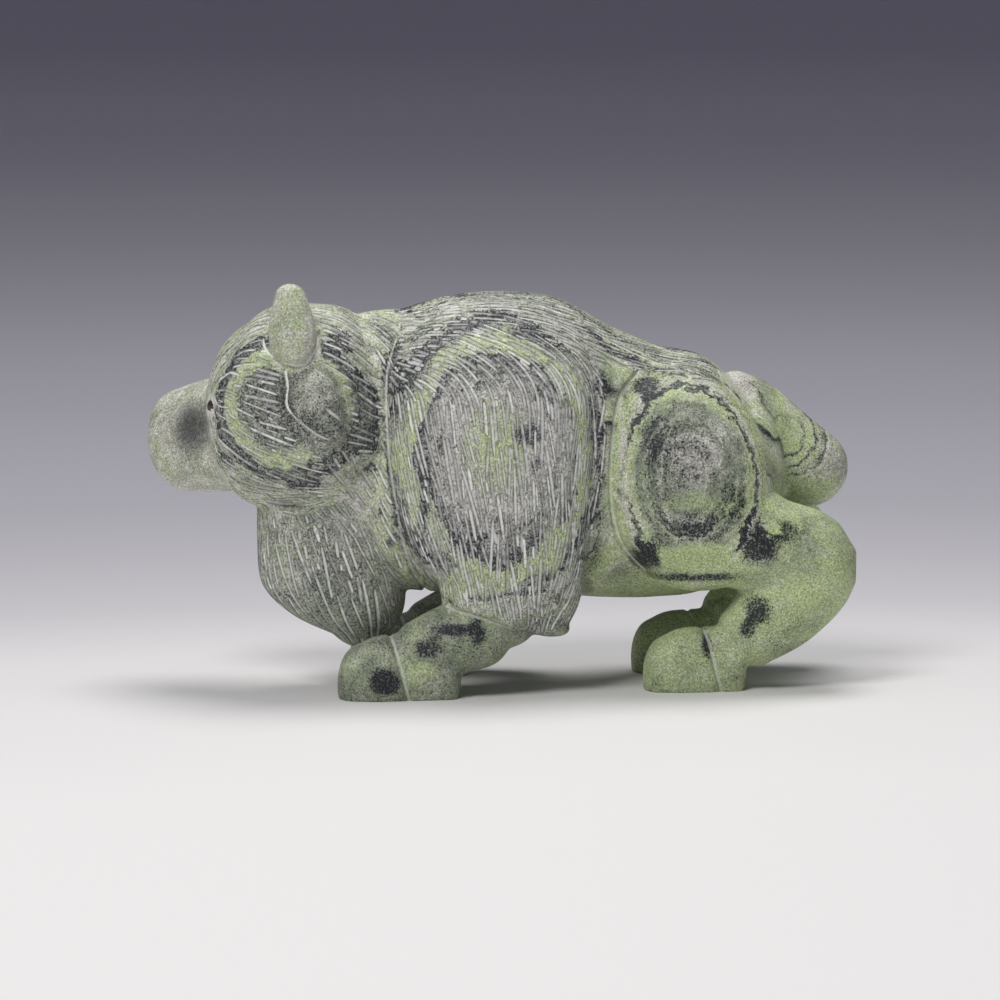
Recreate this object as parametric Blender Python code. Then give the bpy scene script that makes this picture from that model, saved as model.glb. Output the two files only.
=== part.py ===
"""A buffalo carved from one piece of banded serpentine, with two inlaid eyes.

The buffalo faces -X and stands on +Z, with its left side towards -Y. Its head is
turned to its own right, towards +Y. The origin is the middle of its box, on the
ground. Each body form is a loft of ellipse sections. The lofts are remeshed into one
skin, smoothed like tumbled stone, incised, thinned and cut flat under the hooves.
"""

import math

import bmesh
import bpy
import numpy as np
from mathutils import Matrix, Vector
from mathutils.bvhtree import BVHTree

# Driving dimensions, in metres
CARVING_LENGTH = 0.1028
EYE_LENGTH = 0.0026
EYE_HEIGHT = 0.0021
EYE_THICKNESS = 0.0018
EYE_STANDS_PROUD = 0.0003
EYE_CLEARANCE = 0.0003
GROOVE_WIDTH = 0.0013
GROOVE_DEPTH = 0.0007
FUR_CUT_WIDTH = 0.0011
FUR_CUT_DEPTH = 0.00045
FUR_CUT_LENGTH = 0.012
FUR_PITCH = 0.0028
NOSTRIL_DEPTH = 0.0009

# The pose is drawn in units, 102.8 from muzzle to hock, so one unit is a millimetre
# on a carving of the usual length.
DRAWN_LENGTH = 102.8
UNIT = CARVING_LENGTH / DRAWN_LENGTH

# Fineness of the skin, in drawing units, and of the finished solid
VOXEL = 0.42
SMOOTH_ROUNDS = 10
SOLID_TRIANGLES = 8900
SECTION_POINTS = 32
RINGS_PER_STATION = 4
CAP_RINGS = 6

STONE_COLOUR = (0.36, 0.42, 0.31, 1.0)
STONE_ROUGHNESS = 0.38
EYE_COLOUR = (0.045, 0.036, 0.032, 1.0)
EYE_ROUGHNESS = 0.2

# How the head is turned on the neck: its centre, and its angles in degrees
HEAD_CENTRE = (-30.0, 1.5, 41.2)
HEAD_YAW = 34.0
HEAD_PITCH = 10.0
HEAD_ROLL = 18.0

# Stations of the forms, as (x, y, z, half width across Y, half height), in drawing
# units. Paired forms are given on the left side, which is +Y in the head's own axes.
TRUNK = [
    (-16, 0, 34.5, 11.5, 20.1),
    (-9, 0, 35.2, 13.0, 21.5),
    (-1, 0, 35.6, 13.6, 22.0),
    (8, 0, 34.8, 13.4, 21.8),
    (16, 0, 32.4, 12.4, 20.0),
    (23, 0, 31.0, 12.6, 18.6),
    (30, 0, 30.6, 12.2, 17.2),
    (36, 0, 30.6, 9.8, 12.0),
]
NECK = [(-28, 0.5, 36.0, 10.0, 13.5), (-21, 0.5, 36.4, 10.5, 17.9), (-14, 0, 35.4, 10.5, 19.8)]
CAPE = [
    (4.8, -10.6, 10.0, 3.2, 3.6),
    (2.2, -10.8, 13.4, 4.9, 7.8),
    (-0.8, -10.4, 18.5, 6.6, 11.6),
    (-2.3, -9.6, 26.5, 8.0, 14.1),
    (-2.4, -8.9, 36.0, 8.8, 15.4),
    (-2.2, -8.0, 43.5, 8.7, 15.5),
    (-2.0, -6.0, 50.0, 7.3, 13.8),
    (-1.6, -3.4, 54.6, 5.0, 9.6),
]
HAUNCH = [
    (27.4, -9.2, 17.8, 5.0, 7.4),
    (26.8, -9.4, 22.4, 7.0, 11.2),
    (26.4, -9.0, 28.8, 7.9, 12.2),
    (26.0, -8.4, 35.6, 7.8, 11.6),
    (24.8, -6.6, 42.2, 6.4, 9.0),
    (24.0, -4.6, 45.6, 4.4, 6.0),
]
HIND_LEG = [
    (30.5, -9.8, 24.0, 6.2, 8.6),
    (37.6, -10.1, 20.8, 6.0, 7.4),
    (43.7, -10.3, 18.0, 5.4, 7.4),
    (40.0, -10.3, 12.2, 4.9, 6.6),
    (34.8, -9.8, 7.6, 4.5, 5.0),
]
UPPER_FORE_LEG = [(-2.2, -10.8, 17.5, 5.2, 8.8), (-3.0, -11.0, 10.7, 5.0, 6.6)]
LOWER_FORE_LEG = [
    (-4.8, -11.0, 9.0, 4.9, 5.1),
    (-9.0, -11.0, 8.0, 4.8, 5.2),
    (-13.0, -10.9, 6.6, 4.5, 4.6),
]
BEARD = [
    (-20.6, -0.2, 7.8, 3.6, 4.0),
    (-22.4, 0.2, 10.6, 5.8, 8.0),
    (-24.4, 0.8, 15.0, 7.4, 10.4),
    (-25.8, 1.4, 21.0, 8.0, 9.7),
    (-27.4, 2.0, 27.0, 7.4, 8.0),
]
TAIL = [
    (34.4, 0.8, 41.9, 3.6, 3.8),
    (37.6, 1.4, 39.7, 4.5, 4.6),
    (41.8, 1.6, 35.4, 5.2, 5.2),
    (46.2, 1.4, 30.9, 5.6, 5.9),
]
TAIL_ROOT = [(36.0, 0.8, 35.0, 4.2, 5.6), (42.6, 1.0, 30.8, 4.6, 4.4)]
HEAD_BALL = [(-6.4, 0, -0.4, 12.4, 14.4), (0.5, 0, 0, 13.0, 14.9), (5.2, 0, -0.6, 11.4, 13.6)]
MUZZLE = [(8, 0, -2.8, 8.2, 8.6), (14, 0, -2.8, 7.8, 8.2), (18.6, 0, -2.8, 7.0, 7.5)]
HORN = [(-6.8, 11.8, 4.6, 3.0, 3.5), (-6.9, 12.4, 7.8, 3.0, 3.5), (-7.0, 13.0, 11.8, 2.0, 2.5)]
EAR = [(-8.6, 10.4, -1.6, 2.6, 3.8), (-9.4, 10.0, -4.8, 2.8, 4.2), (-10.2, 8.8, -7.8, 2.2, 3.0)]

# Left feet, as (toe x, groove x, heel x, y, half width), and how far back the right
# ones stand
FORE_FOOT = (-25.0, -16.0, -7.2, -10.8, 4.6)
HIND_FOOT = (19.6, 29.8, 35.0, -9.0, 4.3)
FOOT_TOP = 9.4
RIGHT_FORE_SHIFT = 4.0
RIGHT_HIND_SHIFT = 1.3

# Incised lines, as (x, z) seen from the left side
HAUNCH_LINE = [
    (19.0, 46.5),
    (15.8, 42.6),
    (14.5, 35.5),
    (14.4, 28.2),
    (15.6, 22.4),
    (18.5, 18.5),
    (22.2, 15.9),
    (27.3, 14.6),
]
CAPE_LINE = [
    (-15.8, 52.0),
    (-17.8, 46.0),
    (-17.9, 36.0),
    (-16.4, 25.7),
    (-14.2, 18.5),
    (-11.0, 13.9),
    (-5.0, 11.8),
    (0.6, 9.6),
]
EAR_LINE = [(-32.6, 48.0), (-32.3, 45.4), (-32.5, 42.4), (-31.0, 40.2), (-28.4, 38.2), (-26.4, 37.4)]
HORN_LINE = [(-35.2, 51.7), (-34.8, 49.9), (-32.7, 48.1), (-29.8, 48.0), (-27.8, 50.3), (-27.2, 52.7)]

# In the head's own axes: the mouth as (y, z) seen from the front, the left nostril,
# and the eye's line of sight, by where it leaves the head's middle plane and its turn
# from straight left towards the front, in degrees
MOUTH_LINE = [(-4.2, -6.2), (-2.2, -7.0), (0.0, -7.3), (2.2, -7.0), (4.2, -6.2)]
NOSTRIL = (23.0, 3.0, -1.2)
NOSTRIL_RADIUS = 1.6
EYE_PLACE = (-0.9, -1.4)
EYE_TURN = 41.0

# Where each part's fur cuts fade in, as (none, full) along an axis, how they lean, and
# the radius on which the cuts round the head are spaced
HEAD_FUR_BACK = (-12.0, -10.0)
HEAD_FUR_FRONT = (8.5, 7.5)
HEAD_FUR_REACH = 17.0
HEAD_FUR_RADIUS = 12.5
HEAD_FUR_SWEEP = 3.0
BEARD_MIDDLE = 1.0
BEARD_FUR_FOOT = (6.5, 7.5)
BEARD_FUR_EDGE = (8.6, 7.6)
BEARD_FUR_SIDE = (3.0, 4.5)
BEARD_LEAN = 0.18
CAPE_FUR_SIDE = (6.5, 8.5)
CAPE_FUR_FOOT = (11.0, 12.5)
CAPE_LEAN = -0.1
CREST_FUR_FOOT = (49.0, 51.0)
CREST_FUR_FRONT = (-15.0, -13.0)
CREST_FUR_BACK = (20.0, 16.0)
CREST_FUR_EDGE = (8.5, 7.5)
FADE = 1.5

# The boxy feet: shares of the half width and half height at four places along each
FOOT_MIDDLES = (2.4, 2.9, 3.2, 3.2)
FOOT_WIDTHS = (0.86, 1.0, 0.98, 0.94)
FOOT_HEIGHTS = (5.2, 5.9, 5.9, 5.8)
TOE_INSETS = (2.8, 5.6)
HEEL_INSET = 2.2
GROOVE_SLANT = 0.25
GROOVE_MIDDLE = 3.0


def head_frame():
    """The head's own axes: X forward along the muzzle, Y to its left, Z up."""
    yaw = Matrix.Rotation(math.radians(180.0 - HEAD_YAW), 4, "Z")
    pitch = Matrix.Rotation(math.radians(HEAD_PITCH), 4, "Y")
    roll = Matrix.Rotation(math.radians(HEAD_ROLL), 4, "X")
    return Matrix.Translation(HEAD_CENTRE) @ yaw @ pitch @ roll


def spline(values, share):
    """The row of values at a share from 0 to 1 of the list, on a Catmull-Rom curve."""
    place = share * (len(values) - 1)
    index = min(int(place), len(values) - 2)
    t = place - index
    before, start = values[max(index - 1, 0)], values[index]
    end, after = values[index + 1], values[min(index + 2, len(values) - 1)]
    return (
        start
        + 0.5 * t * (end - before)
        + t * t * (before - 2.5 * start + 2.0 * end - 0.5 * after)
        + t * t * t * (-0.5 * before + 1.5 * start - 1.5 * end + 0.5 * after)
    )


def spline_rows(rows, per_span):
    """The rows of values along the curve through them, per_span to each span."""
    rows = [np.array(row, float) for row in rows]
    count = per_span * (len(rows) - 1) + 1
    return [spline(rows, k / (count - 1)) for k in range(count)]


def section_axes(tangent, plane):
    """The two directions that a section's half-sizes are measured along."""
    side = Vector((0, 1, 0))
    if plane == "upright":
        return side, Vector((0, 0, 1))
    if plane == "level":
        return side, Vector((1, 0, 0))
    return side, tangent.cross(side).normalized()


def add_section(bm, centre, axes, half_sizes, power, frame):
    """One closed ring of a superellipse, as the edges between its points."""
    verts = []
    for k in range(SECTION_POINTS):
        angle = 2 * math.pi * k / SECTION_POINTS
        c, s = math.cos(angle), math.sin(angle)
        along = math.copysign(abs(c) ** (2 / power), c) * half_sizes[0]
        across = math.copysign(abs(s) ** (2 / power), s) * half_sizes[1]
        verts.append(bm.verts.new(frame @ (centre + axes[0] * along + axes[1] * across)))
    return [bm.edges.new((verts[k - 1], verts[k])) for k in range(SECTION_POINTS)]


def cap_rings(core, tangent, reach):
    """Shrinking rings that round an end over, from the end out to reach along tangent."""
    rings = []
    for k in range(1, CAP_RINGS + 1):
        angle = 0.5 * math.pi * (k - 0.35) / CAP_RINGS
        centre = Vector(core[:3]) + tangent * (reach * math.sin(angle))
        rings.append((centre, core[3:5] * math.cos(angle), tangent))
    return rings


def add_loft(bm, stations, plane="path", power=2.0, caps=(1.0, 1.0), frame=None):
    """A closed form through stations of (x, y, z, half width across Y, half height).

    Both ends are rounded over, by the given shares of the end's smaller half-size.
    """
    frame = frame or Matrix.Identity(4)
    cores = spline_rows(stations, RINGS_PER_STATION)
    last = len(cores) - 1
    first_tangent = Vector(cores[1][:3] - cores[0][:3]).normalized()
    last_tangent = Vector(cores[last][:3] - cores[last - 1][:3]).normalized()
    rings = cap_rings(cores[0], first_tangent, -caps[0] * min(cores[0][3:5]))[::-1]
    for k, core in enumerate(cores):
        step = cores[min(k + 1, last)][:3] - cores[max(k - 1, 0)][:3]
        rings.append((Vector(core[:3]), core[3:5], Vector(step).normalized()))
    rings += cap_rings(cores[last], last_tangent, caps[1] * min(cores[last][3:5]))
    loops = []
    for centre, half_sizes, tangent in rings:
        axes = section_axes(tangent, plane)
        loops.append(add_section(bm, centre, axes, half_sizes, power, frame))
    bmesh.ops.bridge_loops(bm, edges=[edge for loop in loops for edge in loop])
    for loop in (loops[0], loops[-1]):
        bmesh.ops.edgeloop_fill(bm, edges=loop)


def mirrored(stations, shift=0.0):
    """The same stations on the other side, moved by shift along X."""
    return [(x + shift, -y, z, a, b) for x, y, z, a, b in stations]


def right_foot(place, shift):
    """The right foot of a pair, which stands back by shift."""
    toe, groove, heel, y, half_width = place
    return toe + shift, groove + shift, heel + shift, -y, half_width


def all_feet():
    """The four feet, left and right, fore and hind."""
    return [
        FORE_FOOT,
        HIND_FOOT,
        right_foot(FORE_FOOT, RIGHT_FORE_SHIFT),
        right_foot(HIND_FOOT, RIGHT_HIND_SHIFT),
    ]


def add_trunk(bm):
    """Chest, hump, loin and rump, the neck, and the cape and haunch of each side."""
    add_loft(bm, TRUNK, plane="upright", caps=(0.6, 0.6))
    add_loft(bm, NECK, plane="upright", caps=(0.4, 0.4))
    for stations in (CAPE, HAUNCH):
        add_loft(bm, stations, plane="level", power=2.25, caps=(0.7, 0.6))
        add_loft(bm, mirrored(stations), plane="level", power=2.25, caps=(0.7, 0.6))


def add_foot(bm, place):
    """A boxy foot along X: the hoof runs from its toe to the groove, then the heel."""
    toe, groove, heel, y, half_width = place
    spots = (toe + TOE_INSETS[0], toe + TOE_INSETS[1], groove, heel - HEEL_INSET)
    stations = [
        (x, y, z, half_width * share, half_height)
        for x, z, share, half_height in zip(spots, FOOT_MIDDLES, FOOT_WIDTHS, FOOT_HEIGHTS)
    ]
    add_loft(bm, stations, plane="upright", power=2.7, caps=(0.75, 0.5))


def add_legs(bm):
    """The four legs and their feet. The right legs stand a little back."""
    for stations in (UPPER_FORE_LEG, LOWER_FORE_LEG):
        add_loft(bm, stations, caps=(1.0, 0.8))
        add_loft(bm, mirrored(stations, RIGHT_FORE_SHIFT), caps=(1.0, 0.8))
    add_loft(bm, HIND_LEG, caps=(0.8, 0.8))
    add_loft(bm, mirrored(HIND_LEG, RIGHT_HIND_SHIFT), caps=(0.8, 0.8))
    for place in all_feet():
        add_foot(bm, place)


def add_head(bm, frame):
    """Furred ball, bare muzzle, horns and ears, all in the head's own axes."""
    add_loft(bm, HEAD_BALL, plane="upright", caps=(0.72, 0.62), frame=frame)
    add_loft(bm, MUZZLE, plane="upright", power=2.2, caps=(0.5, 0.66), frame=frame)
    for stations in (HORN, EAR):
        add_loft(bm, stations, frame=frame)
        add_loft(bm, mirrored(stations), frame=frame)


def add_beard_and_tail(bm):
    """The beard, down to the left fore hoof, and the tail, laid on the rump."""
    add_loft(bm, BEARD, plane="level", caps=(0.8, 0.5))
    add_loft(bm, TAIL, caps=(0.9, 1.0))
    add_loft(bm, TAIL_ROOT, caps=(0.8, 0.8))


def object_from(bm, name):
    """A new object that holds the mesh, with its faces pointing out."""
    mesh = bpy.data.meshes.new(name)
    bmesh.ops.recalc_face_normals(bm, faces=bm.faces)
    bm.to_mesh(mesh)
    bm.free()
    obj = bpy.data.objects.new(name, mesh)
    bpy.context.scene.collection.objects.link(obj)
    return obj


def settle(obj):
    """Replaces the object's mesh by what its modifiers make of it."""
    graph = bpy.context.evaluated_depsgraph_get()
    made = bpy.data.meshes.new_from_object(obj.evaluated_get(graph))
    obj.modifiers.clear()
    obj.data = made


def rough_out(frame):
    """All the forms merged into one smooth skin, in drawing units."""
    bm = bmesh.new()
    add_trunk(bm)
    add_legs(bm)
    add_head(bm, frame)
    add_beard_and_tail(bm)
    stone = object_from(bm, "buffalo")
    merge = stone.modifiers.new("merge", "REMESH")
    merge.mode = "VOXEL"
    merge.voxel_size = VOXEL
    polish = stone.modifiers.new("polish", "SMOOTH")
    polish.factor = 0.5
    polish.iterations = SMOOTH_ROUNDS
    settle(stone)
    return stone


def skin_arrays(stone):
    """The places and the outward directions of the skin's points, as two arrays."""
    mesh = stone.data
    points = np.empty(len(mesh.vertices) * 3)
    mesh.vertices.foreach_get("co", points)
    normals = np.empty(len(mesh.vertices) * 3)
    mesh.vertex_normals.foreach_get("vector", normals)
    return points.reshape(-1, 3), normals.reshape(-1, 3)


def into_head(points, frame):
    """Points, or directions where frame has no shift, in the head's own axes."""
    inverse = np.array(frame.inverted())
    return points @ inverse[:3, :3].T + inverse[:3, 3]


def thrown(tree, starts, aim, frame=None):
    """A line drawn on the skin: points thrown at it along aim, in the frame's axes."""
    frame = frame or Matrix.Identity(4)
    hits = []
    for start in starts:
        hit = tree.ray_cast(frame @ Vector(start), frame.to_3x3() @ Vector(aim))[0]
        if hit:
            hits.append(np.array(hit))
    return hits


def thrown_from_side(tree, line, side):
    """A line of (x, z) points thrown from the left, where side is -1, or the right."""
    starts = [(x, side * DRAWN_LENGTH, z) for x, z in spline_rows(line, 6)]
    return thrown(tree, starts, (0, -side, 0))


def across_head(line, frame):
    """The same line of points on the other side of the head."""
    inverse = frame.inverted()
    flip = Matrix.Diagonal((1, -1, 1, 1))
    return [np.array(frame @ flip @ inverse @ Vector(point)) for point in line]


def line_depth(points, line, width, depth):
    """How deep a round-bottomed groove along the line cuts at each point."""
    nearest = np.full(len(points), np.inf)
    for start, end in zip(line, line[1:]):
        span = end - start
        length = max(span @ span, 1e-9)
        share = np.clip((points - start) @ span / length, 0, 1)
        gap = np.linalg.norm(points - start - share[:, None] * span, axis=1)
        nearest = np.minimum(nearest, gap)
    return depth * np.clip(1 - (nearest / (0.5 * width)) ** 2, 0, 1)


def ramp(values, start, end):
    """0 before start, 1 after end, and a smooth step between."""
    t = np.clip((values - start) / (end - start), 0, 1)
    return t * t * (3 - 2 * t)


def scatter(cells, salt):
    """A number from 0 to 1 for each whole number, the same each time."""
    wave = np.sin(cells * 12.9898 + salt * 78.233) * 43758.5453
    return wave - np.floor(wave)


def fur_cuts(across, along, salt):
    """Depth of a comb of fur cuts: columns at FUR_PITCH, each broken into strokes."""
    pitch, width = FUR_PITCH / UNIT, FUR_CUT_WIDTH / UNIT
    length, depth = FUR_CUT_LENGTH / UNIT, FUR_CUT_DEPTH / UNIT
    column = np.floor(across / pitch)
    deepest = np.zeros(len(across))
    for step in (-1, 0, 1):
        cell = column + step
        centre = (cell + 0.5 + 0.3 * (scatter(cell, salt) - 0.5)) * pitch
        place = along / length + scatter(cell, salt + 1)
        place -= np.floor(place)
        taper = np.clip(np.minimum(place, 1 - place) / 0.12, 0, 1)
        half_width = 0.5 * width * np.maximum(taper, 0.05)
        profile = np.clip(1 - np.abs(across - centre) / half_width, 0, 1)
        deepest = np.maximum(deepest, profile * taper)
    return depth * deepest


def within(points, stations, margin):
    """How far inside a level-sectioned form's side view each point is, along X."""
    rows = np.array(stations, float)
    middle = np.interp(points[:, 2], rows[:, 2], rows[:, 0])
    reach = np.interp(points[:, 2], rows[:, 2], rows[:, 4])
    return ramp(reach - np.abs(points[:, 0] - middle), 0, margin)


def away_from(points, stations, margin):
    """0 within a form's round sections and 1 from margin outside them."""
    clear = np.ones(len(points))
    for core in spline_rows(stations, RINGS_PER_STATION):
        reach = max(core[3:5])
        gap = np.linalg.norm(points - core[:3], axis=1)
        clear = np.minimum(clear, ramp(gap, reach, reach + margin))
    return clear


def head_fur(own):
    """Where the head carries fur, and its cuts, which sweep round from the muzzle."""
    round_head = np.hypot(own[:, 1], own[:, 2])
    share = ramp(own[:, 0], *HEAD_FUR_BACK) * ramp(own[:, 0], *HEAD_FUR_FRONT)
    share *= ramp(np.linalg.norm(own, axis=1), HEAD_FUR_REACH, HEAD_FUR_REACH - 1)
    for stations in (HORN, mirrored(HORN), EAR, mirrored(EAR)):
        share *= away_from(own, stations, 0.5 * FADE)
    spin = np.arctan2(own[:, 2], own[:, 1])
    return share, fur_cuts(spin * HEAD_FUR_RADIUS, own[:, 0] + HEAD_FUR_SWEEP * round_head, 1)


def beard_fur(points):
    """Where the beard carries fur, and its cuts, which hang down."""
    x, y, z = points.T
    off_middle = np.abs(y - BEARD_MIDDLE)
    share = within(points, BEARD, FADE) * ramp(z, *BEARD_FUR_FOOT)
    share *= ramp(off_middle, *BEARD_FUR_EDGE)
    side = ramp(off_middle, *BEARD_FUR_SIDE)
    cuts = fur_cuts(x + BEARD_LEAN * z, z, 4) * side + fur_cuts(y, z, 5) * (1 - side)
    return share, cuts


def cape_fur(points):
    """The cuts that hang down the cape's sides and run along its crest."""
    x, y, z = points.T
    cape = within(points, CAPE, FADE) * ramp(np.abs(y), *CAPE_FUR_SIDE)
    cape *= ramp(z, *CAPE_FUR_FOOT)
    crest = ramp(z, *CREST_FUR_FOOT) * ramp(x, *CREST_FUR_FRONT)
    crest *= ramp(x, *CREST_FUR_BACK) * ramp(np.abs(y), *CREST_FUR_EDGE)
    return np.maximum(cape * fur_cuts(x + CAPE_LEAN * z, z, 7), crest * fur_cuts(y, x, 9))


def fur_depth(points, frame):
    """The fur cuts over the head, the beard and the cape, each clear of the last."""
    head, head_cuts = head_fur(into_head(points, frame))
    beard, beard_cuts = beard_fur(points)
    rest = (1 - head) * (1 - beard) * cape_fur(points)
    return head * head_cuts + (1 - head) * beard * beard_cuts + rest


def incise(stone, frame):
    """Presses every groove and fur cut into the skin, along its own directions."""
    points, normals = skin_arrays(stone)
    tree = BVHTree.FromObject(stone, bpy.context.evaluated_depsgraph_get())
    width, depth = GROOVE_WIDTH / UNIT, GROOVE_DEPTH / UNIT
    lines = []
    for side in (-1, 1):
        lines += [thrown_from_side(tree, line, side) for line in (HAUNCH_LINE, CAPE_LINE)]
    for line in (EAR_LINE, HORN_LINE):
        seen = thrown_from_side(tree, line, -1)
        lines += [seen, across_head(seen, frame)]
    mouth = [(DRAWN_LENGTH, y, z) for y, z in spline_rows(MOUTH_LINE, 6)]
    lines.append(thrown(tree, mouth, (-1, 0, 0), frame))
    cut = fur_depth(points, frame)
    for line in lines:
        cut = np.maximum(cut, line_depth(points, line, width, depth))
    for _toe, groove, _heel, y, half_width in all_feet():
        outside = np.abs(points[:, 1] - y) - half_width
        near = ramp(points[:, 2], FOOT_TOP, FOOT_TOP - 1) * ramp(outside, 1, 0.5)
        slanted = groove + GROOVE_SLANT * (GROOVE_MIDDLE - points[:, 2])
        gap = np.abs(points[:, 0] - slanted) / (0.5 * width)
        cut = np.maximum(cut, near * depth * np.clip(1 - gap**2, 0, 1))
    own = into_head(points, frame)
    for side in (-1, 1):
        nostril = np.array((NOSTRIL[0], side * NOSTRIL[1], NOSTRIL[2]))
        gap = np.linalg.norm(own - nostril, axis=1) / NOSTRIL_RADIUS
        cut = np.maximum(cut, NOSTRIL_DEPTH / UNIT * np.clip(1 - gap**2, 0, 1))
    stone.data.vertices.foreach_set("co", (points - normals * cut[:, None]).ravel())
    stone.data.update()


def thin_out(stone):
    """Thins the skin to the solid's triangles, most where it curves least."""
    stone.data.calc_loop_triangles()
    thin = stone.modifiers.new("thin", "DECIMATE")
    thin.ratio = SOLID_TRIANGLES / len(stone.data.loop_triangles)
    settle(stone)


def cut_soles(stone):
    """Cuts the feet off flat on the ground and fills the cuts."""
    bm = bmesh.new()
    bm.from_mesh(stone.data)
    whole = list(bm.verts) + list(bm.edges) + list(bm.faces)
    cut = bmesh.ops.bisect_plane(
        bm, geom=whole, plane_co=(0, 0, 0), plane_no=(0, 0, -1), clear_outer=True
    )
    rims = [item for item in cut["geom_cut"] if isinstance(item, bmesh.types.BMEdge)]
    bmesh.ops.holes_fill(bm, edges=rims)
    bm.to_mesh(stone.data)
    bm.free()


def lens(name, place, growth):
    """A lens of stone at a place on the head, in metres, grown all round by growth."""
    bm = bmesh.new()
    bmesh.ops.create_uvsphere(bm, u_segments=14, v_segments=8, radius=1.0)
    sizes = [0.5 * size + growth for size in (EYE_LENGTH, EYE_HEIGHT, EYE_THICKNESS)]
    bmesh.ops.transform(bm, matrix=place @ Matrix.Diagonal((*sizes, 1)), verts=bm.verts)
    return object_from(bm, name)


def eye_place(tree, side, frame):
    """Where an eye sits: its length along the head, its middle just under the skin."""
    x, z = EYE_PLACE
    turn = math.radians(EYE_TURN)
    aim = Vector((-math.sin(turn), -side * math.cos(turn), 0))
    start = Vector((x, 0, z)) - aim * DRAWN_LENGTH
    hit, normal = tree.ray_cast(frame @ start, frame.to_3x3() @ aim)[:2]
    long_way = frame.to_3x3() @ Vector((1, 0, 0))
    up = normal.cross(long_way).normalized()
    axes = Matrix((up.cross(normal), up, normal)).transposed().to_4x4()
    sunk = hit * UNIT - normal * (0.5 * EYE_THICKNESS - EYE_STANDS_PROUD)
    return Matrix.Translation(sunk) @ axes


def set_eyes(stone, frame, tree):
    """The two inlaid eyes, each in a socket cut into the stone."""
    for name, side in (("eye_left", 1), ("eye_right", -1)):
        place = eye_place(tree, side, frame)
        socket = lens(name + "_socket", place, EYE_CLEARANCE)
        cut = stone.modifiers.new(name, "BOOLEAN")
        cut.operation = "DIFFERENCE"
        cut.solver = "EXACT"
        cut.object = socket
        settle(stone)
        bpy.data.objects.remove(socket)
        eye = lens(name, place, 0.0)
        eye.data.materials.append(finish(name, EYE_COLOUR, EYE_ROUGHNESS))
        eye.data.shade_smooth()


def finish(name, colour, roughness):
    """A plain material of one colour."""
    material = bpy.data.materials.new(name)
    material.use_nodes = True
    shader = material.node_tree.nodes["Principled BSDF"]
    shader.inputs["Base Color"].default_value = colour
    shader.inputs["Roughness"].default_value = roughness
    shader.inputs["Metallic"].default_value = 0.0
    return material


def centre_on_box(stone):
    """Moves everything so that the stone's box stands centred on the origin."""
    points, _normals = skin_arrays(stone)
    low, high = points.min(axis=0), points.max(axis=0)
    shift = Vector((-0.5 * (low[0] + high[0]), -0.5 * (low[1] + high[1]), -low[2]))
    for obj in bpy.data.objects:
        obj.data.transform(Matrix.Translation(shift))


def main():
    for old in list(bpy.data.objects):
        bpy.data.objects.remove(old)
    frame = head_frame()
    stone = rough_out(frame)
    tree = BVHTree.FromObject(stone, bpy.context.evaluated_depsgraph_get())
    incise(stone, frame)
    thin_out(stone)
    cut_soles(stone)
    stone.data.transform(Matrix.Scale(UNIT, 4))
    set_eyes(stone, frame, tree)
    stone.data.materials.append(finish("serpentine", STONE_COLOUR, STONE_ROUGHNESS))
    stone.data.shade_smooth()
    centre_on_box(stone)


main()
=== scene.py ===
"""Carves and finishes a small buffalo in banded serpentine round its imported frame.

The buffalo is drawn in units of which 102.8 make its length, in the same pose as the
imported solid: it faces -X, stands on +Z and turns its head to its own right, +Y. Each
form is a loft worked out on a grid. The lofts are merged, smoothed like tumbled stone,
cut with short strokes that follow the lay of the fur, and thinned.
"""

import math

import bmesh
import bpy
import numpy as np
from mathutils import Matrix, Vector
from mathutils.bvhtree import BVHTree


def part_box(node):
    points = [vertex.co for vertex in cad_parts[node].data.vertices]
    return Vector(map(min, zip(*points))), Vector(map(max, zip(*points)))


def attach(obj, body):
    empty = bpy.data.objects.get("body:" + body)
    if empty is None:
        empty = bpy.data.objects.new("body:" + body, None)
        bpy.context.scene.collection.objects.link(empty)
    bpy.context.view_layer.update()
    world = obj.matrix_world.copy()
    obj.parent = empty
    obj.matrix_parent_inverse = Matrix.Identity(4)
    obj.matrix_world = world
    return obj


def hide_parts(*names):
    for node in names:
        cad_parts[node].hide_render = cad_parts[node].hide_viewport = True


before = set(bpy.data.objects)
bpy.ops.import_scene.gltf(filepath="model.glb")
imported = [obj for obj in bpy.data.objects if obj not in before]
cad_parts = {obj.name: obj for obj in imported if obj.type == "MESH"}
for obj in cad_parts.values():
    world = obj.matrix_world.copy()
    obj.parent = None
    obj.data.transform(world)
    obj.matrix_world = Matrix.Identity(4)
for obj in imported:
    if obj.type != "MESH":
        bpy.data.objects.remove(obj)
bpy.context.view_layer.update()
NODE = "buffalo"
EYE_NODES = ("eye_left", "eye_right")
NODE_LOW, NODE_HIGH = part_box(NODE)

bl_info = {
    "name": "Serpentine buffalo",
    "version": (1, 0, 0),
    "blender": (4, 5, 0),
    "location": "3D Viewport > Sidebar > Buffalo",
    "description": "Carves a small buffalo in banded serpentine, finishes it and sets it on a pale floor",
    "category": "Object",
}

# The drawing's length from muzzle to hock, and how finely its forms are worked out
DRAWN_LENGTH = 102.8
SECTION_POINTS = 40
RINGS_PER_STATION = 6
CAP_RINGS = 8
SMOOTHING_REACH = 1.33

# How the head is turned on the neck: its centre, and its angles in degrees
HEAD_CENTRE = (-30.0, 1.5, 41.2)
HEAD_YAW = 34.0
HEAD_PITCH = 10.0
HEAD_ROLL = 18.0

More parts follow.
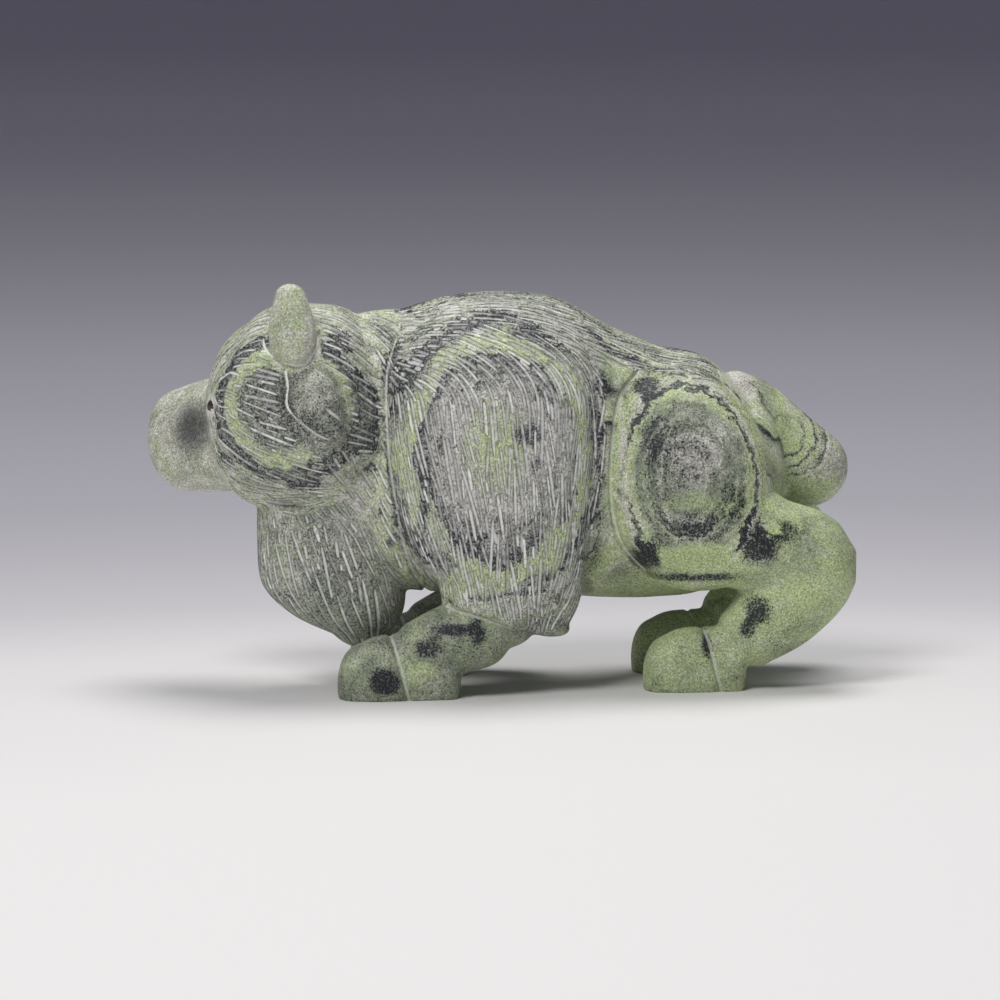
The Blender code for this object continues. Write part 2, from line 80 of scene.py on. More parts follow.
# Stations of the forms, as (x, y, z, half width across Y, half height), in drawing
# units. Paired forms are given on the left side, which is +Y in the head's own axes.
TRUNK = (
    (-16, 0, 34.5, 11.5, 20.1),
    (-9, 0, 35.2, 13.0, 21.5),
    (-1, 0, 35.6, 13.6, 22.0),
    (8, 0, 34.8, 13.4, 21.8),
    (16, 0, 32.4, 12.4, 20.0),
    (23, 0, 31.0, 12.6, 18.6),
    (30, 0, 30.6, 12.2, 17.2),
    (36, 0, 30.6, 9.8, 12.0),
)
NECK = ((-28, 0.5, 36.0, 10.0, 13.5), (-21, 0.5, 36.4, 10.5, 17.9), (-14, 0, 35.4, 10.5, 19.8))
CAPE = (
    (4.8, -10.6, 10.0, 3.2, 3.6),
    (2.2, -10.8, 13.4, 4.9, 7.8),
    (-0.8, -10.4, 18.5, 6.6, 11.6),
    (-2.3, -9.6, 26.5, 8.0, 14.1),
    (-2.4, -8.9, 36.0, 8.8, 15.4),
    (-2.2, -8.0, 43.5, 8.7, 15.5),
    (-2.0, -6.0, 50.0, 7.3, 13.8),
    (-1.6, -3.4, 54.6, 5.0, 9.6),
)
HAUNCH = (
    (27.4, -9.2, 17.8, 5.0, 7.4),
    (26.8, -9.4, 22.4, 7.0, 11.2),
    (26.4, -9.0, 28.8, 7.9, 12.2),
    (26.0, -8.4, 35.6, 7.8, 11.6),
    (24.8, -6.6, 42.2, 6.4, 9.0),
    (24.0, -4.6, 45.6, 4.4, 6.0),
)
HIND_LEG = (
    (30.5, -9.8, 24.0, 6.2, 8.6),
    (37.6, -10.1, 20.8, 6.0, 7.4),
    (43.7, -10.3, 18.0, 5.4, 7.4),
    (40.0, -10.3, 12.2, 4.9, 6.6),
    (34.8, -9.8, 7.6, 4.5, 5.0),
)
UPPER_FORE_LEG = ((-2.2, -10.8, 17.5, 5.2, 8.8), (-3.0, -11.0, 10.7, 5.0, 6.6))
LOWER_FORE_LEG = (
    (-4.8, -11.0, 9.0, 4.9, 5.1),
    (-9.0, -11.0, 8.0, 4.8, 5.2),
    (-13.0, -10.9, 6.6, 4.5, 4.6),
)
BEARD = (
    (-20.6, -0.2, 7.8, 3.6, 4.0),
    (-22.4, 0.2, 10.6, 5.8, 8.0),
    (-24.4, 0.8, 15.0, 7.4, 10.4),
    (-25.8, 1.4, 21.0, 8.0, 9.7),
    (-27.4, 2.0, 27.0, 7.4, 8.0),
)
TAIL = (
    (34.4, 0.8, 41.9, 3.6, 3.8),
    (37.6, 1.4, 39.7, 4.5, 4.6),
    (41.8, 1.6, 35.4, 5.2, 5.2),
    (46.2, 1.4, 30.9, 5.6, 5.9),
)
TAIL_ROOT = ((36.0, 0.8, 35.0, 4.2, 5.6), (42.6, 1.0, 30.8, 4.6, 4.4))
HEAD_BALL = ((-6.4, 0, -0.4, 12.4, 14.4), (0.5, 0, 0, 13.0, 14.9), (5.2, 0, -0.6, 11.4, 13.6))
MUZZLE = ((8, 0, -2.8, 8.2, 8.6), (14, 0, -2.8, 7.8, 8.2), (18.6, 0, -2.8, 7.0, 7.5))
HORN = ((-6.8, 11.8, 4.6, 3.0, 3.5), (-6.9, 12.4, 7.8, 3.0, 3.5), (-7.0, 13.0, 11.8, 2.0, 2.5))
EAR = ((-8.6, 10.4, -1.6, 2.6, 3.8), (-9.4, 10.0, -4.8, 2.8, 4.2), (-10.2, 8.8, -7.8, 2.2, 3.0))

# Left feet, as (toe x, groove x, heel x, y, half width), and how far back the right
# ones stand
FORE_FOOT = (-25.0, -16.0, -7.2, -10.8, 4.6)
HIND_FOOT = (19.6, 29.8, 35.0, -9.0, 4.3)
FOOT_TOP = 9.4
GROOVE_SLANT = 0.25
RIGHT_FORE_SHIFT = 4.0
RIGHT_HIND_SHIFT = 1.3

# Incised lines, as (x, z) seen from the left side
HAUNCH_LINE = (
    (19.0, 46.5),
    (15.8, 42.6),
    (14.5, 35.5),
    (14.4, 28.2),
    (15.6, 22.4),
    (18.5, 18.5),
    (22.2, 15.9),
    (27.3, 14.6),
)
CAPE_LINE = (
    (-15.8, 52.0),
    (-17.8, 46.0),
    (-17.9, 36.0),
    (-16.4, 25.7),
    (-14.2, 18.5),
    (-11.0, 13.9),
    (-5.0, 11.8),
    (0.6, 9.6),
)
EAR_LINE = ((-32.6, 48.0), (-32.3, 45.4), (-32.5, 42.4), (-31.0, 40.2), (-28.4, 38.2), (-26.4, 37.4))
EAR_SCRATCH = ((-27.1, 42.1), (-25.9, 41.3), (-24.7, 40.4))
HORN_LINE = ((-35.2, 51.7), (-34.8, 49.9), (-32.7, 48.1), (-29.8, 48.0), (-27.8, 50.3), (-27.2, 52.7))

# In the head's own axes: the mouth as (y, z) seen from the front, the left nostril,
# and the ball that carries the fur, as its middle and half-sizes
MOUTH_LINE = ((-4.2, -6.2), (-2.2, -7.0), (0.0, -7.3), (2.2, -7.0), (4.2, -6.2))
NOSTRIL = (23.0, 3.0, -1.2)
NOSTRIL_RADIUS = 1.6
NOSTRIL_DEPTH = 0.9
FURRED_BALL = ((-1.5, 0.0, -0.3), (14.0, 13.2, 15.2))
FURRED_REACH = 1.06
BARE_FACE = 8.3
MUZZLE_REACH = 17.0
HORN_MARGIN = 0.7
EAR_MARGIN = 0.9

# Where each part's fur ends: the beard's back edge as (z, x), and the others' lower
# edges as (x, z), each as its places and its values there
BARE_FEET = 6.5
NECK_FUR_LOW = 15.0
BEARD_FUR_BACK = ((6, 12, 18, 26), (-14.0, -13.5, -15.0, -17.0))
BEARD_HALF_WIDTH = 9.5
BEARD_MIDDLE = 1.0
CAPE_FUR_LOW = ((-12, -2, 4, 9), (14.5, 11.6, 8.6, 10.5))
CAPE_FUR_SIDE = 4.0
CREST_FUR_LOW = ((-18, -14, -10, -4), (43.0, 46.5, 50.5, 54.0))
CREST_FUR_BACK = -3.0
BACK_FUR_LOW = ((-6, 4, 12, 20, 30), (54.5, 52.0, 47.5, 46.6, 44.5))
BACK_FUR_ENDS = (-6.0, 31.5)

# The way the fur lies on each part, as directions in the drawing, and on the left of
# the head in the head's own axes
HEAD_LAY = (-0.78, -0.52, -0.27)
NECK_LAY = (0.52, 0.0, -0.85)

# How far the fur leans back for each unit that it falls, as places along X and slopes
CAPE_SLOPES = ((-17, -10, -3, 5, 11), (0.36, 0.22, 0.12, 0.02, -0.14))
CREST_SLOPES = ((-18, -10, -3), (1.7, 2.2, 4.5))
BACK_FALL = ((-6, 4, 14, 24), (0.1, 0.35, 0.5, 0.2))
BEARD_SLOPE = 0.3

# Strokes on each part: the usual length, the gap to the next and the half width of
# the cut, in drawing units
STROKES = {
    "head": (6.4, 0.7, 0.3),
    "neck": (4.6, 0.6, 0.31),
    "beard": (14.0, 0.76, 0.37),
    "cape": (9.0, 0.42, 0.3),
    "crest": (4.4, 0.5, 0.39),
    "back": (12.0, 0.44, 0.28),
}
PARTS = tuple(STROKES)
STROKE_STEP = 0.5
STROKE_TRIES = 14000
TAKEN_CELL = 0.25
SHORTEST_STROKE = 3
STROKE_LEAN = 0.09
STROKE_SEED = 7
LEAST_TURN = 0.55

# How white the powder is in the head's lines, in the long lines and in the hoof grooves
HEAD_LINE_POWDER = 0.95
LONG_LINE_POWDER = 0.5
HOOF_POWDER = 0.4

# Rings of colour on each bulge, as the middle (x, z) and the radii left, right, up and
# down; the head's are in its own axes, where left is forward
HEAD_RINGS = ((-4.4, -3.2), (10.6, 10.6, 10.2, 10.0))
CAPE_RINGS = ((-2.3, 36.0), (15.4, 15.0, 18.0, 20.5))
HAUNCH_RINGS = ((25.2, 31.8), (10.2, 10.6, 14.0, 15.6))
TAIL_RINGS = ((41.7, 36.6), (5.2, 6.2, 6.0, 6.8))

# Each layer as (dark grains, pale grains, yellow, cover), along its place from the
# middle of a ring system, where 1 is its outer ring, or through the whole stone
RING_SHARE = 0.6
FINE_LAYERS = 22.0
LAYERS = (
    (0.0, (0.2, 0.3, 0.3, 1)),
    (0.15, (0.05, 0.3, 0.8, 1)),
    (0.3, (0.1, 0.7, 0.55, 1)),
    (0.4, (0.45, 0.2, 0.2, 1)),
    (0.47, (0.95, 0.1, 0.0, 1)),
    (0.51, (0.9, 0.1, 0.0, 1)),
    (0.55, (0.2, 0.2, 0.6, 1)),
    (0.7, (0.05, 0.5, 0.7, 1)),
    (0.82, (0.3, 0.3, 0.3, 1)),
    (0.88, (0.7, 0.1, 0.1, 1)),
    (0.93, (0.3, 0.2, 0.3, 1)),
    (1.0, (0.2, 0.3, 0.3, 1)),
)
HEAD_STOPS = (
    (0.0, (0.6, 0.25, 0.1, 1)),
    (0.5, (0.75, 0.2, 0.1, 1)),
    (0.62, (0.35, 0.2, 0.4, 1)),
    (0.7, (0.05, 0.2, 0.85, 1)),
    (0.84, (0.1, 0.3, 0.7, 1)),
    (0.9, (0.9, 0.2, 0.0, 1)),
    (1.02, (1.0, 0.2, 0.0, 1)),
    (1.08, (0.25, 0.3, 0.3, 1)),
    (1.2, (0.15, 0.6, 0.5, 1)),
    (1.3, (0.45, 0.4, 0.3, 1)),
    (1.38, (0.1, 0.6, 0.55, 1)),
    (1.6, (0.1, 0.6, 0.55, 0.6)),
)
CAPE_STOPS = (
    (0.0, (0.25, 0.6, 0.5, 1)),
    (0.3, (0.3, 0.75, 0.35, 1)),
    (0.52, (0.4, 0.85, 0.1, 1)),
    (0.66, (0.65, 0.6, 0.0, 1)),
    (0.76, (0.95, 0.3, 0.0, 1)),
    (0.79, (0.15, 0.2, 0.9, 1)),
    (0.89, (0.05, 0.2, 0.9, 1)),
    (0.93, (0.75, 0.3, 0.2, 1)),
    (1.02, (0.85, 0.3, 0.0, 1)),
    (1.08, (0.3, 0.4, 0.3, 1)),
    (1.2, (0.2, 0.6, 0.4, 0.8)),
    (1.4, (0.2, 0.6, 0.4, 0.0)),
)
HAUNCH_STOPS = (
    (0.0, (0.52, 0.5, 0.0, 1)),
    (0.4, (0.55, 0.4, 0.1, 1)),
    (0.52, (0.6, 0.3, 0.15, 1)),
    (0.62, (0.35, 0.3, 0.35, 1)),
    (0.7, (0.6, 0.3, 0.2, 1)),
    (0.78, (0.3, 0.3, 0.45, 1)),
    (0.86, (0.1, 0.4, 0.8, 1)),
    (0.9, (0.85, 0.2, 0.0, 1)),
    (0.93, (0.6, 0.2, 0.1, 1)),
    (0.96, (0.1, 0.6, 0.5, 1)),
    (1.05, (0.1, 0.3, 0.8, 1)),
    (1.2, (0.2, 0.4, 0.5, 0.0)),
)
TAIL_STOPS = (
    (0.0, (0.1, 0.5, 0.7, 1)),
    (0.4, (0.1, 0.3, 0.8, 1)),
    (0.47, (0.75, 0.2, 0.3, 1)),
    (0.54, (0.15, 0.4, 0.8, 1)),
    (0.7, (0.2, 0.4, 0.7, 1)),
    (0.76, (0.8, 0.2, 0.2, 1)),
    (0.83, (0.15, 0.5, 0.7, 1)),
    (0.98, (0.7, 0.3, 0.2, 1)),
    (1.05, (0.15, 0.6, 0.5, 1)),
    (1.5, (0.2, 0.6, 0.4, 1)),
)
RING_STOPS = (
    ("head", HEAD_STOPS, 0.22),
    ("cape", CAPE_STOPS, 0.26),
    ("haunch", HAUNCH_STOPS, 0.3),
    ("tail", TAIL_STOPS, 0.4),
)
BARE_TINTS = (
    ("muzzle", (0.2, 0.75, 0.4, 1)),
    ("beard", (0.5, 0.5, 0.2, 1)),
    ("fore_leg", (0.46, 0.3, 0.3, 1)),
    ("hind_leg", (0.26, 0.2, 0.65, 1)),
    ("ear", (0.66, 0.6, 0.0, 1)),
    ("horn", (0.14, 0.7, 0.55, 1)),
)

# Patches in the stone, seen from the left, as (x, z, half width, half height) and what
# each adds to the dark grains, the pale grains and the yellow
PATCHES = (
    (1.3, 38.2, 2.0, 1.6, 0.9, 0.0, -0.2),
    (2.2, 33.7, 2.0, 1.1, 0.5, 0.0, 0.0),
    (-3.2, 37.3, 4.4, 7.4, -0.15, -0.3, 0.45),
    (-9.8, 29.2, 2.7, 5.9, 0.0, 0.4, -0.4),
    (-10.7, 42.7, 2.7, 4.5, -0.1, 0.4, -0.2),
    (-13.0, 29.6, 0.8, 4.2, 1.2, 0.0, -0.3),
    (-14.5, 29.0, 0.7, 4.4, -1.0, -0.1, 0.9),
    (-7.6, 22.0, 3.1, 2.4, 0.5, 0.1, -0.2),
    (-1.8, 19.3, 2.7, 1.4, 0.5, 0.0, -0.2),
    (-6.3, 16.9, 6.0, 1.9, -0.9, -0.1, 0.9),
    (5.3, 22.4, 1.6, 4.2, -0.9, -0.1, 0.8),
    (9.3, 40.9, 0.8, 5.6, -0.8, 0.0, 0.8),
    (7.4, 38.0, 1.6, 8.5, -0.6, 0.1, 0.0),
    (0.4, 52.1, 4.2, 0.7, 0.6, 0.0, -0.2),
    (-17.0, 47.0, 1.4, 4.4, 0.6, 0.0, -0.2),
    (4.0, 14.8, 3.2, 1.8, 0.4, 0.0, 0.1),
    (13.3, 44.5, 1.3, 2.2, 0.9, 0.0, -0.2),
    (12.3, 37.2, 1.5, 1.3, 0.7, 0.0, 0.0),
    (11.5, 25.5, 1.5, 1.0, 0.7, 0.0, 0.0),
    (26.5, 35.6, 5.4, 4.8, -0.1, 0.25, -0.4),
    (19.9, 38.8, 1.9, 5.4, 0.3, 0.0, -0.2),
    (19.8, 44.2, 2.4, 1.3, 1.1, 0.0, -0.2),
    (26.5, 28.2, 5.4, 1.8, -0.15, -0.4, 0.5),
    (25.6, 24.2, 4.4, 2.2, 0.35, 0.2, 0.0),
    (31.8, 28.0, 1.7, 2.4, 0.2, -0.2, 0.0),
    (26.5, 20.0, 5.4, 2.0, -0.9, -0.2, 0.9),
    (27.0, 16.9, 7.0, 0.7, 0.8, 0.0, -0.2),
    (19.4, 20.3, 1.9, 2.5, 1.1, 0.0, -0.2),
    (35.4, 22.2, 2.8, 3.4, 1.1, 0.0, -0.3),
    (39.3, 23.8, 1.6, 1.6, 0.7, 0.0, 0.0),
    (37.0, 24.8, 0.6, 3.0, -1.4, 0.0, 1.0),
    (16.0, 34.0, 0.5, 11.0, -0.9, 0.5, 0.3),
    (35.6, 12.2, 1.9, 2.0, 0.9, 0.0, 0.0),
    (34.0, 9.4, 1.2, 1.4, 0.8, 0.0, 0.0),
    (28.4, 6.9, 0.8, 1.8, 0.9, 0.0, 0.0),
    (38.6, 17.5, 2.4, 2.6, 0.35, 0.0, -0.2),
    (43.4, 16.8, 5.5, 5.0, -0.5, 0.0, 0.35),
    (42.5, 19.4, 2.6, 3.6, 0.0, 0.0, -0.5),
    (34.8, 45.0, 3.4, 3.2, -0.3, 0.7, 0.1),
    (-5.7, 10.0, 1.3, 2.0, 0.8, 0.0, -0.2),
    (-9.3, 10.2, 2.4, 0.8, 0.8, 0.0, -0.2),
    (-12.6, 7.6, 1.8, 1.5, 0.6, 0.0, -0.2),
    (-13.6, 3.8, 2.2, 1.6, -0.4, 0.0, 0.6),
    (-18.8, 2.8, 2.0, 1.8, 1.0, 0.0, -0.3),
    (-24.7, 51.0, 2.2, 1.8, 0.9, 0.0, 0.0),
    (-20.0, 33.0, 1.0, 1.0, 0.9, 0.0, 0.0),
    (-39.4, 34.4, 2.7, 1.1, 0.6, 0.0, 0.0),
    (-23.3, 18.6, 2.6, 2.4, 0.2, 0.0, 0.0),
    (9.0, 47.5, 3.2, 4.6, -0.5, 0.2, 0.1),
    (11.5, 21.0, 2.6, 6.0, 0.35, -0.3, -0.2),
    (-22.0, 27.0, 4.0, 5.0, -0.1, 0.35, 0.1),
)
MUZZLE_PATCH = (-44.9, 1.2, 38.2)
MUZZLE_PATCH_SIZE = (3.3, 5.0, 4.6)

# The lamps, as name, place in metres, size and share of the lamp power
LAMPS = (("key", (-0.5, -0.6, 0.9), 0.45, 1.0), ("overhead", (0.1, 0.2, 0.9), 0.5, 0.7))
LAMP_COLOUR = (1.0, 0.985, 0.95)
LAMP_AIM = (0, 0, 0.03)
GLOW_COLOUR = (0.95, 0.94, 1.06, 1.0)
GLOW_STRENGTH = 0.52

# What the camera looks at, and how wide its view is there, in metres
CAMERA_TARGET = (-0.0007, 0.0, 0.027)
VIEW_WIDTH = 0.146

# The floor's reach, and where it starts to rise and how much, in metres
FLOOR_REACH = 20.0
FLAT_REACH = 8.0
FLOOR_RISE = 0.2
FLOOR_DROP = 0.00002

# How pale the floor is at each distance, in metres, from a place before the carving
PALE_MIDDLE = (0.0, -0.3, 0.0)
FLOOR_FADE = 0.6
FLOOR_LIGHT = (
    (0.0, 1.0),
    (0.22, 1.0),
    (0.28, 0.94),
    (0.335, 0.86),
    (0.39, 0.61),
    (0.455, 0.48),
    (0.535, 0.38),
    (0.755, 0.34),
    (1.115, 0.38),
    (1.83, 0.5),
    (3.9, 0.4),
    (8.0, 0.28),
    (30.0, 0.16),
)


def head_frame():
    """The head's own axes: X forward along the muzzle, Y to its left, Z up."""
    yaw = Matrix.Rotation(math.radians(180.0 - HEAD_YAW), 4, "Z")
    pitch = Matrix.Rotation(math.radians(HEAD_PITCH), 4, "Y")
    roll = Matrix.Rotation(math.radians(HEAD_ROLL), 4, "X")
    return Matrix.Translation(HEAD_CENTRE) @ yaw @ pitch @ roll


HEAD_AXES = np.array(head_frame())


def into_head(points):
    """Points in the head's own axes: the middle taken off, then turned back."""
    return (points - HEAD_AXES[:3, 3]) @ HEAD_AXES[:3, :3]


def out_of_head(points):
    """Points of the head's own axes in the drawing."""
    return points @ HEAD_AXES[:3, :3].T + HEAD_AXES[:3, 3]


def unit(vectors):
    """The vectors at length one."""
    return vectors / np.maximum(np.linalg.norm(vectors, axis=-1, keepdims=True), 1e-9)


def ramp(values, start, end):
    """0 before start, 1 after end, and between them 3t^2 - 2t^3."""
    t = np.clip((values - start) / (end - start), 0.0, 1.0)
    return t * t * (3.0 - 2.0 * t)


def curve(rows, per_span):
    """Rows along the Catmull-Rom curve through the given rows, per_span to a span.

    Between two rows the curve is the cubic that passes both, with half the difference
    of their neighbours as its slope at each.
    """
    rows = np.asarray(rows, float)
    place = np.linspace(0, len(rows) - 1, per_span * (len(rows) - 1) + 1)
    index = np.minimum(place.astype(int), len(rows) - 2)
    t = (place - index)[:, None]
    before, start = rows[np.maximum(index - 1, 0)], rows[index]
    end, after = rows[index + 1], rows[np.minimum(index + 2, len(rows) - 1)]
    return (
        start
        + 0.5 * t * (end - before)
        + t * t * (before - 2.5 * start + 2.0 * end - 0.5 * after)
        + t * t * t * (-0.5 * before + 1.5 * start - 1.5 * end + 0.5 * after)
    )


def loft(stations, plane="path", power=2.0, caps=(1.0, 1.0), in_head=False):
    """A closed tube as a grid of rows round it and points along each row.

    Row r is the superellipse |u|^p + |v|^p = 1 at station r, scaled by its half-sizes.
    Past both ends the rows shrink as a cosine while they advance as a sine.
    """
    cores = curve(stations, RINGS_PER_STATION)
    steps = np.empty((len(cores), 3))
    steps[1:-1] = cores[2:, :3] - cores[:-2, :3]
    steps[0] = cores[1, :3] - cores[0, :3]
    steps[-1] = cores[-1, :3] - cores[-2, :3]
    tangents = unit(steps)
    turn = 0.5 * math.pi * (np.arange(1, CAP_RINGS + 1) - 0.35) / CAP_RINGS
    rows, ways = [cores], [tangents]
    for end, share in ((0, -caps[0]), (-1, caps[1])):
        reach = share * cores[end, 3:5].min()
        cap = np.empty((CAP_RINGS, 5))
        cap[:, :3] = cores[end, :3] + np.sin(turn)[:, None] * reach * tangents[end]
        cap[:, 3:5] = cores[end, 3:5] * np.cos(turn)[:, None]
        way = np.repeat(tangents[end][None], CAP_RINGS, axis=0)
        if end == 0:
            rows.insert(0, cap[::-1])
            ways.insert(0, way)
        else:
            rows.append(cap)
            ways.append(way)
    rows, ways = np.concatenate(rows), np.concatenate(ways)
    side = np.array((0.0, 1.0, 0.0))
    up = {"upright": np.array((0.0, 0.0, 1.0)), "level": np.array((1.0, 0.0, 0.0))}.get(plane)
    if up is None:
        up = unit(np.cross(ways, side))[:, None]
    angle = 2 * math.pi * np.arange(SECTION_POINTS) / SECTION_POINTS
    wide = np.copysign(np.abs(np.cos(angle)) ** (2 / power), np.cos(angle))
    high = np.copysign(np.abs(np.sin(angle)) ** (2 / power), np.sin(angle))
    grid = rows[:, None, :3] + side * (rows[:, 3:4] * wide)[..., None] + up * (rows[:, 4:5] * high)[..., None]
    return out_of_head(grid) if in_head else grid


def mirrored(stations, shift=0.0):
    """The same stations on the other side, moved by shift along X."""
    return tuple((x + shift, -y, z, a, b) for x, y, z, a, b in stations)


def right_foot(place, shift):
    """The right foot of a pair, which stands back by shift."""
    toe, groove, heel, y, half_width = place
    return toe + shift, groove + shift, heel + shift, -y, half_width


def all_feet():
    """The four feet, left and right, fore and hind."""
    right_fore = right_foot(FORE_FOOT, RIGHT_FORE_SHIFT)
    right_hind = right_foot(HIND_FOOT, RIGHT_HIND_SHIFT)
    return (FORE_FOOT, HIND_FOOT, right_fore, right_hind)


def foot_loft(place):
    """A boxy foot along X: the hoof runs from its toe to the groove, then the heel."""
    toe, groove, heel, y, half_width = place
    stations = (
        (toe + 2.8, y, 2.4, half_width * 0.86, 5.2),
        (toe + 5.6, y, 2.9, half_width, 5.9),
        (groove, y, 3.2, half_width * 0.98, 5.9),
        (heel - 2.2, y, 3.2, half_width * 0.94, 5.8),
    )
    return loft(stations, plane="upright", power=2.7, caps=(0.75, 0.5))


def all_lofts():
    """The grid of every form of the body, the legs, the head, the beard and the tail."""
    lofts = [
        loft(TRUNK, plane="upright", caps=(0.6, 0.6)),
        loft(NECK, plane="upright", caps=(0.4, 0.4)),
        loft(HEAD_BALL, plane="upright", caps=(0.72, 0.62), in_head=True),
        loft(MUZZLE, plane="upright", power=2.2, caps=(0.5, 0.66), in_head=True),
        loft(BEARD, plane="level", caps=(0.8, 0.5)),
        loft(TAIL, caps=(0.9, 1.0)),
        loft(TAIL_ROOT, caps=(0.8, 0.8)),
    ]
    for pair in (CAPE, mirrored(CAPE), HAUNCH, mirrored(HAUNCH)):
        lofts.append(loft(pair, plane="level", power=2.25, caps=(0.7, 0.6)))
    for leg in (UPPER_FORE_LEG, LOWER_FORE_LEG):
        lofts.append(loft(leg, caps=(1.0, 0.8)))
        lofts.append(loft(mirrored(leg, RIGHT_FORE_SHIFT), caps=(1.0, 0.8)))
    lofts.append(loft(HIND_LEG, caps=(0.8, 0.8)))
    lofts.append(loft(mirrored(HIND_LEG, RIGHT_HIND_SHIFT), caps=(0.8, 0.8)))
    for pair in (HORN, mirrored(HORN), EAR, mirrored(EAR)):
        lofts.append(loft(pair, in_head=True))
    return lofts + [foot_loft(place) for place in all_feet()]


def closed_grid_faces(rows, around, first):
    """Quads between neighbouring rows of a tube, and fans that close both its ends."""
    r, k = np.meshgrid(np.arange(rows - 1), np.arange(around), indexing="ij")
    after = (k + 1) % around
    quads = np.stack((r * around + k, r * around + after, (r + 1) * around + after, (r + 1) * around + k), -1)
    ends = [tuple(range(first + around - 1, first - 1, -1))]
    last = first + (rows - 1) * around
    ends.append(tuple(range(last, last + around)))
    return [tuple(quad) for quad in (quads.reshape(-1, 4) + first).tolist()] + ends


def mesh_from_grids(name, grids):
    """One mesh that holds every grid as a closed tube."""
    faces, first = [], 0
    for grid in grids:
        faces += closed_grid_faces(grid.shape[0], grid.shape[1], first)
        first += grid.shape[0] * grid.shape[1]
    mesh = bpy.data.meshes.new(name)
    mesh.from_pydata(np.concatenate([grid.reshape(-1, 3) for grid in grids]), [], faces)
    mesh.update()
    return mesh


def settle(obj):
    """Replaces the object's mesh by what its modifiers make of it."""
    graph = bpy.context.evaluated_depsgraph_get()
    made = bpy.data.meshes.new_from_object(obj.evaluated_get(graph))
    obj.modifiers.clear()
    old, obj.data = obj.data, made
    bpy.data.meshes.remove(old)


def skin_arrays(stone):
    """The places and the outward directions of the skin's points, as two arrays."""
    mesh = stone.data
    points = np.empty(len(mesh.vertices) * 3)
    mesh.vertices.foreach_get("co", points)
    normals = np.empty(len(mesh.vertices) * 3)
    mesh.vertex_normals.foreach_get("vector", normals)
    return points.reshape(-1, 3), normals.reshape(-1, 3)


def rough_out(voxel):
    """All the forms merged into one skin of the given fineness and smoothed."""
    stone = bpy.data.objects.new(NODE + "_stone", mesh_from_grids(NODE + "_stone", all_lofts()))
    bpy.context.scene.collection.objects.link(stone)
    merge = stone.modifiers.new("merge", "REMESH")
    merge.mode = "VOXEL"
    merge.voxel_size = voxel
    polish = stone.modifiers.new("polish", "SMOOTH")
    polish.factor = 0.5
    polish.iterations = round((SMOOTHING_REACH / voxel) ** 2)
    settle(stone)
    return stone


def near_form(points, stations, margin):
    """1 within a form's round sections and 0 from margin outside them."""
    near = np.zeros(len(points))
    for core in curve(stations, RINGS_PER_STATION):
        reach = core[3:5].max()
        near = np.maximum(near, ramp(-np.linalg.norm(points - core[:3], axis=1), -reach - margin, -reach))
    return near


def bare_parts(own):
    """1 on the horns and ears, in the head's own axes."""
    mirrored_own = own * (1.0, -1.0, 1.0)
    left = np.where(own[:, 1:2] > 0, own, mirrored_own)
    return near_form(left, HORN, HORN_MARGIN), near_form(left, EAR, EAR_MARGIN)


def between(z, line):
    """X of a line of (x, z) points at each height."""
    line = np.array(sorted(line, key=lambda point: point[1]), float)
    return np.interp(z, line[:, 1], line[:, 0])


def fur_of(points):
    """Which part's fur each point carries: its number in PARTS, or -1 where it is bare."""
    x, y, z = points.T
    own = into_head(points)
    middle, half = np.array(FURRED_BALL)
    ball = np.linalg.norm((own - middle) / half, axis=1)
    horn, ear = bare_parts(own)
    on_head = ball < FURRED_REACH
    front = between(z, CAPE_LINE)
    stations = np.array(CAPE, float)
    rear = np.interp(z, stations[:, 2], stations[:, 0] + stations[:, 4]) + 0.4
    behind = x > front + 0.3
    part = np.full(len(points), -1)
    beard = (x < np.interp(z, *BEARD_FUR_BACK)) & (z < 24.5 + 0.2 * (x + 28)) & (z > 6.0)
    beard &= np.abs(y - BEARD_MIDDLE) < BEARD_HALF_WIDTH
    cape = behind & (x < rear) & (np.abs(y) > CAPE_FUR_SIDE) & (z > np.interp(x, *CAPE_FUR_LOW))
    crest = behind & (x < CREST_FUR_BACK) & (z > np.interp(x, *CREST_FUR_LOW))
    back = (x > BACK_FUR_ENDS[0]) & (x < BACK_FUR_ENDS[1]) & (z > np.interp(x, *BACK_FUR_LOW))
    part[~on_head & ~behind & (z > NECK_FUR_LOW)] = PARTS.index("neck")
    part[beard & ~on_head] = PARTS.index("beard")
    part[cape] = PARTS.index("cape")
    part[crest] = PARTS.index("crest")
    part[back] = PARTS.index("back")
    part[on_head] = PARTS.index("head")
    part[(own[:, 0] > BARE_FACE) | (horn > 0.2) | (ear > 0.5)] = -1
    part[z < BARE_FEET] = -1
    return part


